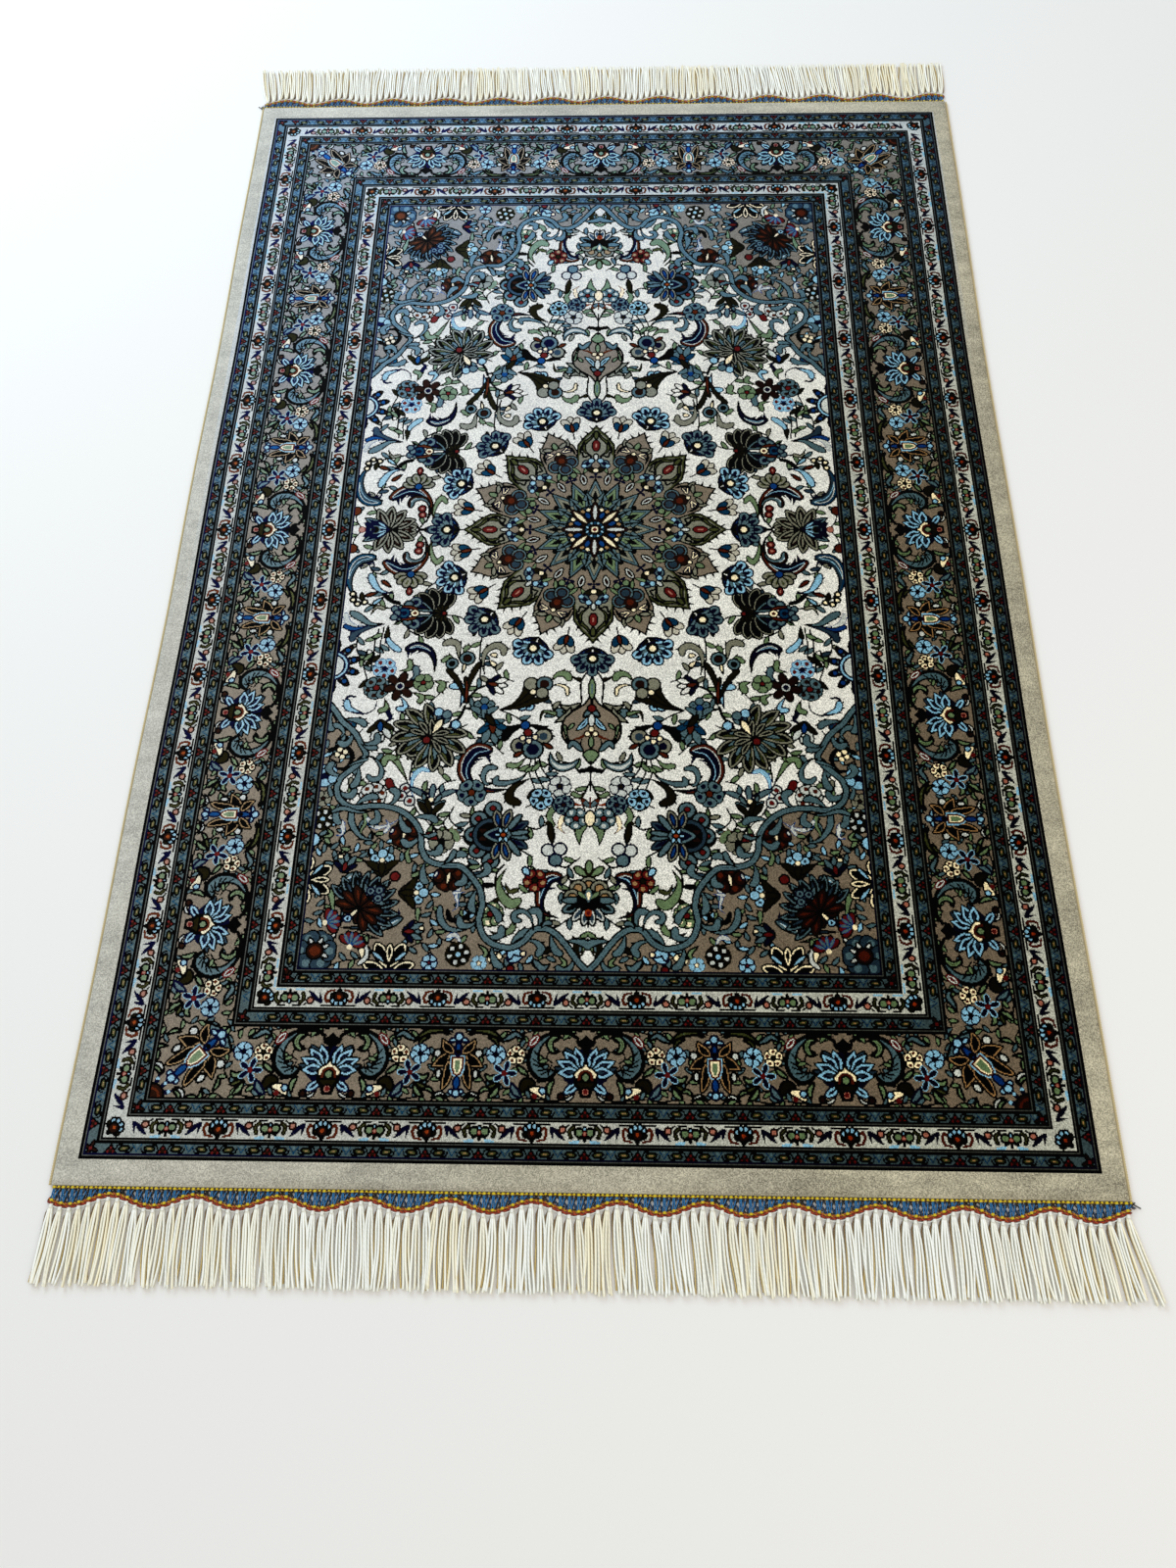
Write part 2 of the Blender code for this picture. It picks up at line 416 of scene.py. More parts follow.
def vine(s, path, every=7.0, fills=("sage", "slate"), length=8.5, width=4.2):
    """A dark stem with small leaves on alternate sides."""
    s.line(path, 1.5, "black")
    line = smooth(path)
    steps = np.gradient(line, axis=0)
    run = np.append(0, np.cumsum(np.hypot(*np.diff(line, axis=0).T)))
    for k, distance in enumerate(np.arange(0.5 * every, run[-1], every)):
        spot = int(np.searchsorted(run, distance))
        heading = math.degrees(math.atan2(steps[spot][1], steps[spot][0]))
        side = 1 if k % 2 else -1
        rings = f"black 0.6 {fills[k % len(fills)]}"
        s.blade(*line[spot], heading + 42 * side, length, width, rings, "leaf", bend=0.25 * side)


def course(path):
    """A path's smooth line, its heading and inner side at each point, and whether it bends left."""
    line = smooth(path)
    ahead = np.gradient(line, axis=0)
    ahead /= np.hypot(*ahead.T)[:, None]
    legs = np.diff(spots(path), axis=0)
    left = np.sum(legs[:-1, 0] * legs[1:, 1] - legs[:-1, 1] * legs[1:, 0]) > 0
    inward = np.stack([-ahead[:, 1], ahead[:, 0]], 1) * (1 if left else -1)
    return line, ahead, inward, left


def leaf(s, path, width, fill, edge="black", barbs=3):
    """A curling leaf from its tip to its base, with barbs on its outer side."""
    line, ahead, inward, _ = course(path)
    for k in range(barbs):
        spot = int(len(line) * (0.22 + 0.5 * k / barbs))
        root = line[spot]
        tip = root - inward[spot] * width * 0.62 - ahead[spot] * width * 0.62
        s.line([root, (root + tip) / 2, tip], width * 0.5, f"{edge} 0.5 {fill}", "thorn")
    s.line(path, width, f"{edge} 0.6 {fill}", "horn")


def saz(s, path, width, outer, inner, teeth):
    """A long curved leaf from its tip to its base, banded along its length, combed on the inside."""
    line, ahead, inward, left = course(path)
    for k in range(int(teeth)):
        spot = int(len(line) * (0.10 + 0.46 * k / teeth))
        root = line[spot]
        tip = root + inward[spot] * width * 0.95 - ahead[spot] * width * 0.6
        s.line([root, (root + tip) / 2 - ahead[spot], tip], width * 0.45, f"navy 0.7 {inner}", "thorn")
    combed = f"black 1 {inner} 2.4 sky 0.8 {inner}"
    banded = f"black 1 {outer} 2.2 silver 0.9 {inner}"
    first, second = (combed, banded) if left else (banded, combed)
    s.line(path, width, first, "horn", sides=second)


# The borders, from the carpet's outer dark line inwards: width in knots, then the dye.

MARGIN = 24  # knots of plain pile at an end
SIDE_MARGIN = 21
BANDS = (
    (3, "black"), (1, "ash"), (2, "navy"), (9, "stripe"), (3, "black"), (1, "ash"), (2, "black"),
    (20, "guard"), (2, "black"), (1, "ash"), (2, "black"), (9, "stripe"), (3, "black"), (1, "ash"),
    (2, "black"), (72, "taupe"), (3, "black"), (1, "ash"), (2, "black"), (9, "stripe"), (3, "black"),
    (1, "ash"), (2, "black"), (21, "guard"), (3, "black"), (1, "ash"), (2, "black"), (9, "stripe"),
    (3, "black"), (1, "ash"), (2, "navy"), (999, "ivory"),
)
STRIPES = (10.5, 50.5, 143.5, 185.5)  # middles of the narrow stripes, in knots from the outer line
OUTER_GUARD, INNER_GUARD, MAIN = 31, 164.5, 97.0
FIELD_STARTS = 196


def band_depths():
    """How many knots inside the outer line each knot is."""
    across = COLUMNS - SIDE_MARGIN - 1 - np.arange(COLUMNS)
    along = ROWS - MARGIN - 1 - np.arange(ROWS)
    return np.minimum(across[None, :], along[:, None])


def bands(c):
    """The concentric bands, mitred at the corners."""
    depth = band_depths()
    start = 0
    for knots, dye in BANDS:
        c.knots[(depth >= start) & (depth < start + knots)] = DYE_NUMBERS[dye]
        start += knots


def keep_to(c, middle, half):
    """From here on, only the band round this middle is drawn on."""
    c.limit = np.abs(band_depths() + 0.5 - middle) < half


class Run:
    """A border's middle line along one edge of the quarter: along it from the axis, facing in."""

    def __init__(self, cartoon, inset, end):
        self.cartoon, self.end = cartoon, end
        self.x = (COLUMNS - SIDE_MARGIN - inset) * ACROSS / COLUMNS
        self.y = (ROWS - MARGIN - inset) * KNOT
        self.length = self.x if end else self.y

    def spot(self, along, flip=1, outward=False):
        """A place along the run. Its x axis runs on to the corner, its y axis faces in."""
        turn = 0 if flip > 0 else 180
        side = -flip if outward else flip
        if self.end:
            return Spot(self.cartoon, along, self.y, turn, 1, -side)
        return Spot(self.cartoon, self.x, along, 90 + turn, 1, side)

    def corner(self, flip=1, back=0.0):
        """A place at the corner, facing in along the diagonal."""
        return Spot(self.cartoon, self.x - back, self.y - back, 135 if flip > 0 else 315, 1, flip)


def s_scroll(s):
    """The small S of a narrow stripe."""
    s.line("-7,-0.6 -5.5,2.6 -1.5,2.6", 1.5, "black")
    s.line("7,0.6 5.5,-2.6 1.5,-2.6", 1.5, "black")
    s.line("-4.8,-0.6 0,0 4.8,0.6", 5.4, "black 1.1 moss 0.9 tan", "leaf")


def stripe_motifs(run, spacing):
    """Dark trefoils, blue sprays and little scrolls, in turn."""
    for k in range(int(run.length / spacing) + 1):
        s = run.spot(k * spacing)
        if k * spacing < run.length - 4:
            s.shape("-5.6,-4 5.6,-4 2.2,0.4 0,3.6 -2.2,0.4", "black 0.8 umber", curved=False)
            s.dots("-2.2,-2.5 2.2,-2.5 0,0.6", 0.9, "maroon")
        for flip in (1, -1):
            scroll = s.at(11.2 * flip, 0, flip=flip)
            if k * spacing + 11.2 * flip < run.length - 10:
                s_scroll(scroll)
        half = run.spot((k + 0.5) * spacing)
        if (k + 0.5) * spacing < run.length - 4:
            for flip in (1, -1):
                half.line([(3.6 * flip, 3), (1.6 * flip, 0.4), (0, -2.4)], 1, "teal")
                half.dot(4.4 * flip, -0.6, 0.8, "steel")
            half.dot(0, 2.4, 1.2, "slate")


def guard_flower(s):
    """The dark flower of the guards between two brown brackets."""
    for side in (1, -1):
        s.line([(3 * side, 6.9), (15 * side, 6.9)], 1.5, "black")
        s.line([(8.2 * side, 2.4), (10.6 * side, 3.6), (12 * side, -0.6), (10.4 * side, -5.2)], 2.6, "rust")
        s.line([(10.4 * side, -5.4), (4.6 * side, -6.6)], 2, "rust")
    guard_head(s)


def guard_head(s):
    """A guard's dark flower. It stands alone at the corner."""
    s.dot(0, -6, 2.4, "black")
    for side in (1, -1):
        s.dot(4.6 * side, -1.2, 3.4, "black 1.2 olive")
        s.dot(4.6 * side, 2.6, 3.2, "black 1.2 sky")
    s.dot(0, -1, 5, "black 1.3 umber")
    s.dot(0, -0.6, 1.6, "orange")
    s.dots("2,5 -2,5", 2.7, "black 1 sky")


def guard_trefoil(s):
    """The sage flower of the guards."""
    for side in (1, -1):
        s.line([(5 * side, -7), (12 * side, -7.2)], 1.8, "sky")
        s.line([(9.4 * side, 4.6), (12.6 * side, 1.4), (11.4 * side, -3.4)], 2.9, "olive 0.9 moss")
        s.line([(3.4 * side, 6.9), (10 * side, 6.9)], 1.6, "black")
        s.dot(4.5 * side, 0.4, 4.1, "black 1.3 sage")
        s.line([(1.5 * side, -3), (5 * side, -4.6)], 2.4, "black")
    s.line("0,4.6 0,1.6", 3.8, "black 1 sky", "egg")
    s.line("0,0 0,-7.6", 4.6, "black", "drop")
    s.dot(0, -0.6, 1.9, "maroon 0.7 pink")


def guard_between(s):
    """A forked navy leaf that rises to the flower, and a small ring."""
    s.line("-6.2,5 -1,0.2 5,-5.8", 4.4, "navy", "leaf")
    s.line("-6.4,4.8 -5.4,0 -4.4,-5.8", 3.2, "navy", "horn")
    s.line("-6,4.6 5,-5.4", 1.6, "navy")
    s.dot(3.4, 2.6, 3.2, "umber 1 pink")
    s.line("6,4.6 9,6.6", 1.6, "black")


def guard_motifs(run, repeats, flower_first, outward):
    """Dark and sage flowers in turn along a guard, with forked leaves between them."""
    spacing = run.length / repeats
    for k in range(int(repeats) + 2):
        along = k * spacing
        if along < run.length - 0.45 * spacing:
            flower = (k % 2 == 0) == flower_first
            (guard_flower if flower else guard_trefoil)(run.spot(along, outward=outward))
        if along + spacing / 2 < run.length - 0.4 * spacing:
            towards = 1 if ((k % 2 == 0) == flower_first) else -1
            guard_between(run.spot(along + spacing / 2, towards, outward))


def feather(s, path, width, teeth):
    """A long curled leaf from its tip to its base, with a dark back and a combed inside."""
    line, ahead, inward, left = course(path)
    backed = f"black {0.27 * width} slate"
    plain = "black 1.3 slate"
    first, second = (plain, backed) if left else (backed, plain)
    s.line(path, width, first, "horn", sides=second)
    for k in range(teeth):
        spot = int(len(line) * (0.08 + 0.5 * k / teeth))
        root = line[spot]
        tip = root + inward[spot] * width * 0.56 - ahead[spot] * width * 0.4
        s.line([root, (root + tip) / 2, tip], 1.5, "black")


def border_star(s):
    """Half of the pale-blue star flower, with its feathered leaves. The other half mirrors it."""
    s.line("7,23 14,27 24,28.5", 3.4, "black")
    feather(s, "27,-6 36,-8 43,-2 45,7 41.5,17 33.5,24 24,27 12,27", 11.5, 6)
    s.line("20,23.5 27.5,23.5 31,18 28,12 21.5,11.8", 6.4, "black 1.4 sage 1.1 moss", "leaf")
    s.line("41,25 48,16.5", 7.4, "maroon 1.4 silver 0.9 maroon", "egg")
    s.line("54,-22 50,-14.5 43,-15.5", 9, "black 1.4 olive", "egg")
    s.line("47,-20 40,-21 34,-26.5", 7.5, "black 0.9 cream", "egg")
    s.dot(36, -21, 3.2, "navy 0.9 sky")
    s.dot(42.5, -25.5, 2.2, "maroon")
    s.line("30,-26 30.5,-18 26,-11", 5.5, "black 1.2 sage", "leaf")
    s.dot(20.5, -25.5, 3.2, "black 1 umber")
    s.line("9,-22 13,-27 19,-28", 3.6, "black 0.9 silver", "leaf")
    s.dot(16.5, 11, 4, "black")
    s.dot(21.5, -3.5, 4.2, "black")
    s.shape("0,26 3.5,22.5 9,21 7,16.5 3,14 2,8 -2,8 -3,14 -7,16.5 -9,21 -3.5,22.5", "black", curved=False)
    s.shape("0,12 8,13 17,9 20,0 20,-9 12,-16 0,-14", "navy")
    s.blade(4, 0, 48, 21, 7, "black 0.6 steel", "leaf")
    s.blade(8, -6, 13, 20, 6, "black 0.6 steel", "leaf")
    for turn, length in ((75, 22), (49, 24), (23, 24), (-3, 21)):
        s.blade(3.5, -5, turn, length, 11, "black 0.6 sky 1.7 navy", "kite")
        s.blade(3.5, -5, turn, 0.6 * length, 2.6, "steel", "leaf")
    s.blade(6, -15, -34, 14.5, 8, "navy 0.8 sky 1.6 navy", "leaf")
    foot = "-9.5,-11.5 9.5,-11.5 9.5,-16 6,-20 4,-26 -4,-26 -6,-20 -9.5,-16"
    s.shape(foot, "black 2.4 olive", curved=False)
    cup = "0,3.4 3,-1 6,-2 10.2,-6.5 9.6,-11.5 -9.6,-11.5 -10.2,-6.5 -6,-2 -3,-1"
    s.shape(cup, "black 1 cream", curved=False)
    s.line("-5.6,-11.5 -4.6,-6.6 0,-4 4.6,-6.6 5.6,-11.5", 2.2, "rust")
    s.dot(0, -9.6, 3.9, "black 1 sage")
    s.dot(0, -21.5, 3.7, "black 0.7 pink 0.6 maroon")


PETAL_EDGE = "black 0.8 tan 0.9 black"


def lily_leaves(s):
    """The long leaf that leaves a lily's top on either side."""
    s.line("7,25 14,28.5 25,28 33,24 39,18", 6, "black 1.7 moss 0.9 sage", "leaf")
    s.line("24,23 31,21 35,14", 4, "black 1.2 moss", "leaf")


def border_lily(s):
    """Half of the dark lily of the main border."""
    s.line("7,-26 14,-24 21,-28", 4.2, "black 1.3 silver", "leaf")
    s.line("18,-25 24,-20 30,-22", 4.6, "black 1.3 sage", "leaf")
    s.dot(17.5, 9.4, 3.9, "black 1.2 silver")
    s.line("15.5,-4.5 15.8,-11", 6.2, "black 1.3 silver", "egg")
    s.shape("5.5,9.4 11,10 17,6.5 21,1 22.6,-2.6 16,-3 10.5,-2.5 7.5,2", PETAL_EDGE)
    s.shape("7,4 11,0 12.4,-8 13.4,-16 12.2,-21.5 7.6,-18.5 4,-11 3.6,-3", PETAL_EDGE)
    s.shape("2,10.6 5.5,16.5 10,19.6 14.4,22 15.2,17 13.4,11.6 9,8.6 4,8.4", PETAL_EDGE)
    heart = "-6.4,7.4 6.4,7.4 6.4,-3 4.2,-9 0,-11.5 -4.2,-9 -6.4,-3"
    s.shape(heart, "sky 1.1 rust 1.7 cream 1.2 sage", curved=False)
    s.line("0,19 0,7", 6.6, "navy 1.5 blue", "egg")
    s.dot(0, 10.5, 1.9, "black")
    s.line("2,21 8,20", 4.6, "navy 1.1 sky", "egg")
    s.dot(0, 23.4, 4, "navy 1.2 sky")
    s.line("0,-10.5 0,-20", 6.4, "navy 0.9 blue", "egg")
    s.dot(4, -22.6, 2.6, "navy 1 sky")
    s.dot(0, -24, 3.6, "navy 1.1 sky")


def border_blossoms(s):
    """The three small flowers and the leaves between a star and a lily."""
    s.line("-15.5,21 -8,26 -1,22.5 6,19.5", 6.2, "black 1.4 slate", "leaf")
    s.line("-9,0 -15,-5 -20,-8.5", 5.6, "black 1.3 sage", "leaf")
    s.line("7,-8 12.5,-11.5 17.5,-7.5", 5.6, "black 1.3 sage", "leaf")
    s.line("-5,-14 -9,-22 -15,-27", 6.6, "navy 1.4 slate", "leaf")
    s.line("4.5,-15.5 8,-23 14,-28", 5.6, "black 1.3 sage", "leaf")
    s.line("6,-15 12,-18 17,-19", 4.6, "black 1.2 moss", "leaf")
    rosette(s.at(-8.6, 8.4), 8.8, 5, "cream", "olive", "rust")
    rosette(s.at(8.6, 8.8), 9, 6, "sky", "black", edge="navy")
    star_flower(s.at(0.8, -6.8, 90), 10, 5, "navy", edge="sky", heart="maroon")


MAIN_VINES = """
4,29 14,30 22,27 30,30
46,4 52,10 49,20 56,24
30,-12 38,-6 36,2
76,30 86,26 94,30 104,27
88,-30 96,-26 104,-30
46,-30 40,-24 50,-20
8,27 24,29.5 44,29 56,27 70,28.5
52,-8 57,0 54,10 58,18
18,-28.5 32,-29 52,-27 62,-29 78,-27
84,-16 90,-6 87,4 92,12
58,-22 66,-19 76,-21 84,-17
28,2 33,6 31,14
"""


MAIN_SPACING = 109.0  # steps from a star to the next lily


def main_motifs(run, stars):
    """Stars and lilies in turn, from the axis to the corner."""
    spacing = MAIN_SPACING
    for k in range(2 * stars + 1):
        start = run.spot(k * spacing) if k % 2 == 0 else run.spot((k + 1) * spacing, -1)
        for path in chart(MAIN_VINES):
            vine(start, path)
    for k in range(2 * stars + 1):
        for flip in (1, -1):
            spot = run.spot(k * spacing, flip)
            if k % 2 == 0:
                border_star(spot)
            else:
                lily_leaves(spot)
                border_lily(spot)
        if k < 2 * stars:
            here = k if k % 2 == 0 else k + 1
            border_blossoms(run.spot(here * spacing + (68 if k % 2 == 0 else -68), 1 if k % 2 == 0 else -1))
    border_blossoms(run.spot(2 * stars * spacing + 67, 1))


def corner_motifs(run):
    """The main border's corner: a lily on the diagonal, a shell behind it, and curled leaves."""
    for flip in (1, -1):
        t = run.corner(flip)
        t.line("4,36 10,30 18,31", 7, "black 1.5 slate", "leaf")
        t.line("24,-6 30,-12 29,-20 22,-22", 5.5, "black 1.4 sage", "leaf")
        t.line("8,-25 16,-24 20,-30", 5, "black 1.4 sage", "leaf")
        t.line("34,-2 31,6 26,9", 5, "black 1.4 sage", "leaf")
        lily = run.corner(flip, 4.5)
        border_lily(lily.at(0, 0, 0, 1.12))
    shell = run.corner()
    for turn in (60, 90, 120):
        shell.at(0, -42).blade(0, 0, turn, 18.5, 6.5, "navy", "drop")
        shell.at(0, -42, turn).dot(15.5, 0, 1.5, "sky")
    shell.dot(0, -42, 11.5, "black 1.2 umber 2.2 rust 2 umber")


def draw_borders(c):
    """The bands, then the motifs of every border, along the end and along the side."""
    bands(c)
    for inset in STRIPES:
        keep_to(c, inset, 4.5)
        for end in (True, False):
            stripe_motifs(Run(c, inset, end), 43.6)
        star_flower(Run(c, inset, True).corner(), 6, 4, "umber", "black", "maroon")
    keep_to(c, OUTER_GUARD, 10)
    guard_motifs(Run(c, OUTER_GUARD, True), 9, False, False)
    guard_motifs(Run(c, OUTER_GUARD, False), 14, True, False)
    guard_head(Run(c, OUTER_GUARD, True).corner())
    keep_to(c, INNER_GUARD, 10.5)
    guard_motifs(Run(c, INNER_GUARD, True), 6.5, False, True)
    guard_motifs(Run(c, INNER_GUARD, False), 11.5, True, True)
    guard_head(Run(c, INNER_GUARD, True).corner())
    keep_to(c, MAIN, 36)
    main_motifs(Run(c, MAIN, True), 1)
    main_motifs(Run(c, MAIN, False), 2)
    corner_motifs(Run(c, MAIN, True))
    c.limit = None


# The field: an ivory ground with a round medallion, flowering stems, and taupe corner pieces.


def lobe(s, kind):
    """One of the sixteen pointed lobes of the medallion, from the centre along x."""
    outline = "70,-20 92,-21 112,-20 124,-12 130,-6 139,0 130,6 124,12 112,20 92,21 70,20"
    s.shape(outline, f"black 1.1 {'moss 1.5 grey' if kind == 'heart' else 'taupe'}", curved=False)
    for t in s.sides():
        for x, y, turn in ((119, 15, 25), (127, 9, 55), (133, 4, 40)):
            t.blade(x, y, turn, 6.5, 3, "black", "thorn")
    if kind == "heart":
        for t in s.sides():
            t.line("96,4 103,12 113,13 121,6 131,1", 4.4, "black 1 moss", "leaf")
            t.line("92,4 97,7 95,13 101,15", 2.4, "black")
            t.line("98,17 108,16 116,11", 3.4, "black", "leaf")
            t.line("101,8 108,9", 3.6, "grey", "leaf")
        s.line("91,0 99,0", 6, "black 1 silver", "egg")
        s.blade(104, 0, 0, 13, 9.5, "black 0.8 maroon 2.8 pink", "egg")
        s.blade(119, 0, 0, 12, 6, "black 0.9 moss", "leaf")
    else:
        for x, y, turn in ((111, 12, 20), (111, -12, -20), (114, 3, 70), (114, -3, -70)):
            s.blade(x, y, turn, 12, 6, "black 0.9 grey", "leaf")
        s.line("106,-13 108,-6 111,-11", 3.2, "navy 0.8 cream")
        s.line("106,13 108,6 111,11", 3.2, "navy 0.8 cream")
        s.blade(113, 0, 0, 10, 7, "black 0.9 sage", "leaf")
        for t in s.sides():
            t.line("98,17 108,16 116,11", 3.4, "black", "leaf")
        s.dot(99, 0, 7.5, "black 1 umber 4 rust")
        s.dot(107, 0, 3, "black 0.9 cream")


def medallion(c):
    """Sixteen lobes, a ring of small flowers, a pointed star and a daisy, from the outside in."""
    centre = Spot(c, 0, 0)
    for k in range(16):
        lobe(centre.at(0, 0, 22.5 * k), "heart" if k % 2 == 0 else "palmette")
    centre.dot(0, 0, 88, "taupe")
    for k in range(16):
        s = centre.at(0, 0, 22.5 * k)
        t = centre.at(0, 0, 22.5 * k + 11.25)
        if k % 2 == 0:
            s.fan((40,), 15, 7, "black 0.8 olive", x=72)
            for side in (1, -1):
                s.dot(86, 9.5 * side, 5.4, "navy 0.9 slate 1.6 navy")
                s.dot(90, 5.0 * side, 3.6, "navy 0.8 sky")
                s.dot(83, 12.5 * side, 3.2, "navy 0.7 sky")
            s.dot(77, 0, 3.4, "black 0.8 cream")
        else:
            s.dots("92,9 92,-9 85,0", 8.5, "black 0.8 slate 1.3 umber 2 steel")
            s.dot(97, 0, 6, "umber 2.2 rust")
            s.dots("74,5 74,-5", 4, "black 0.8 sage")
        t.fan((38,), 15, 4.5, "black 0.5 sage", x=72)
        t.line("58,0 74,0", 8, "black 1 silver 1 umber", "leaf")
    for k in range(16):
        s = centre.at(0, 0, 22.5 * k)
        for turn in (0, 90, 180, 270):
            s.at(68, 0).blade(0, 0, turn, 6.5, 5, "navy", "drop")
    for k in range(16):
        s = centre.at(0, 0, 22.5 * k + 11.25)
        s.shape("30,-9 48,-9.5 52,0 48,9.5 30,9", "black 1 slate 1.4 black", curved=False)
    for k in range(16):
        s = centre.at(0, 0, 22.5 * k)
        inner = "sage" if k % 2 else "grey"
        s.blade(18, 0, 0, 48, 18, f"black 0.9 slate 1.7 black 0.8 {inner} 2.4 black", "kite")
        for t in s.sides():
            t.blade(40, 5, 32, 13, 5, "black 0.6 slate", "thorn")
    centre.dot(0, 0, 31, "black 1 steel 2.4 umber")
    for k in range(8):
        s = centre.at(0, 0, 45 * k + 22.5)
        s.dot(26, 3.2, 3, "black 0.8 cream")
        s.dot(26, -3.2, 3, "black 0.8 tan")
        s.line("15,0 24,0", 6.5, "black 0.8 blue", "leaf")
    for k in range(8):
        s = centre.at(0, 0, 45 * k)
        s.line("7,0 37,0", 10.5, f"black 0.7 umber 2.1 {'silver' if k % 2 == 0 else 'cream'}", "leaf")
    for k in range(16):
        centre.at(0, 0, 22.5 * k).dot(8.4, 0, 2.4, "black 0.7 sky" if k % 2 else "black 0.7 teal")
    centre.dot(0, 0, 4.4, "black 0.5 cream 1.3 maroon")


def bell(s, petal):
    """A flower outside the medallion, on a lobe's tip: a scalloped fan that rises from a dark cup."""
    s.fan((62,), 27, 8, "black 0.6 navy 1.4 blue", x=-2, bend=-0.45)
    s.fan((24,), 19, 6, "black 0.6 olive", x=-2, bend=0.3)
    for t in s.at(10, 0).sides():
        for turn in (80, 40, 0):
            t.blade(0, 0, turn, 14, 11, f"navy 0.7 {petal}", "even")
            t.at(0, 0, turn).dot(17, 0, 5.6, f"navy 0.8 {petal}")
            t.blade(0, 0, turn, 19, 7.5, "navy", "drop")
    s.fan((0, 34, 68), 13, 3.4, "slate", x=9)
    s.dot(12, 0, 6.4, "black")
    s.dot(12, 0, 3.2, "cream")


def ring_tulip(s):
    """A small flower between two bells: tan petals in a teal cup."""
    s.fan((0, 36), 16, 9, "umber 0.7 stone", x=7)
    s.fan((26,), 15, 8, "black 0.7 teal")
    s.blade(0, 0, 0, 13, 5, "black 0.7 rust", "leaf")
    s.line("-8,0 1,0", 1.6, "black")


def pendant(c):
    """The small shield between the medallion and the end, with its leaves."""
    s = Spot(c, 0, 0, 90)
    for t in s.sides():
        t.line("172,6 184,11 205,10", 2, "black")
        t.line("206,10 212,22 208,32", 6.5, "black 1.1 grey", "leaf")
        t.line("224,24 216,33 214,28", 8, "black 1 slate", "egg")
        t.line("218,36 216,47 226,50", 5.5, "olive 1.1 sage", "whip")
        t.line("228,36 220,24 210,20", 7, "black 1.1 grey", "leaf")
        t.shape("203,0 208,9 222,26 240,29 252,22 257,10 270,0", "black 1.5 taupe")
        t.line("232,26 247,22 252,12 246,9", 4, "black 1 sage", "whip")
        t.line("220,2 229,7 237,15", 6.5, "black 0.9 sky 1.2 navy", "leaf")
        t.line("228,16 236,23", 4.5, "black 0.9 sage", "leaf")
        t.line("238,4 244,10 246,18", 3, "rust", "leaf")
        t.line("259,8 250,17 256,22", 7, "black 1 slate", "egg")
        t.line("260,39 270,37 276,29 274,18 266,10", 9, "black 1.1 slate 1.3 silver", "leaf")
        t.line("278,0 280,10", 5, "black")
    s.line("176,0 204,0", 8, "black 1 sage 1.6 slate", "leaf")
    s.shape("210,0 216,7 222,8 220,0 222,-8 216,-7", "black 1.2 slate")
    s.line("218,0 232,0", 7, "black 0.9 silver", "egg")
    s.dot(212, 0, 4.6, "black 0.9 maroon")
    s.dots("235,0 240,4 240,-4", 3.2, "umber 0.8 cream")
    s.line("243,0 255,0", 6, "black 0.9 sage", "egg")
    s.shape("256,0 262,8 272,0 262,-8", "black 1.1 sage")
    s.line("270,0 300,0", 2.2, "black")
    s.dot(278, 0, 4, "black")


SPANDREL_EDGE = """
    262,203 250,217 243,227 230,239 222,252 216,265 228,279 237,288 240,300 235,312
    222,319 200,317 180,321 165,332 157,345 155,360 148,372 133,377 118,378 108,387
    99,400 96,415 98,430 93,445 82,453 68,455 57,449 49,439 39,437 29,442 19,453
    9,467 0,477
"""


def spandrel(c):
    """The taupe corner piece, its slate scrolling edge, and the flowers in it."""
    s = Spot(c, 0, 0)
    outline = np.vstack([smooth(SPANDREL_EDGE), [(0, 480), (262, 480)]])
    s.shape(outline, "taupe", curved=False)
    in_spandrel(s)
    edge = smooth(SPANDREL_EDGE, steps=8)
    run = np.append(0, np.cumsum(np.hypot(*np.diff(edge, axis=0).T)))
    for k, distance in enumerate(np.arange(14, run[-1], 15)):
        spot = int(np.searchsorted(run, distance))
        heading = math.degrees(math.atan2(*(edge[spot] - edge[spot - 1])[::-1]))
        side = 1 if k % 2 else -1
        t = s.at(*edge[spot], heading, flip=side)
        leaf(t, "19,14 13,14 5,8 0,0" if k % 4 < 2 else "1,18 8,15 7,6 0,0", 7.5, "slate")
    s.line(SPANDREL_EDGE, 6.4, "black 0.8 slate 2 steel")
    for path, width in chart("""
        213,285 207,290 200,287 200,277 208,267 216,265 | 6
        206,256 215,256 222,252 | 6
        142,345 150,348 158,345 | 5
        124,362 128,371 135,377 | 6
        60,430 66,429 66,423 58,421 51,428 49,439 | 6
        33,432 38,432 42,437 | 5
        243,324 232,320 215,324 199,321 | 5
        244,308 247,298 240,292 | 5
        213,268 225,272 238,280 | 4
    """):
        leaf(s, path, width, "slate")


SPANDREL_VINES = """
256,214 246,232 234,250 244,262 256,256
214,328 200,346 186,356 170,366 150,384 136,400
250,352 236,362 222,366 206,362 190,366
150,396 140,414 142,432 130,448 112,452
250,396 240,408 240,424 250,436
120,398 112,410 116,424 104,432
250,268 240,272 236,262 244,258
176,462 160,456 146,452 138,462
90,458 70,466 52,470 34,462
248,300 252,320 244,342 252,360
222,340 232,352 228,368 238,380
110,386 104,402 112,420
196,350 204,364 196,376
186,458 200,466 220,470 232,476
"""


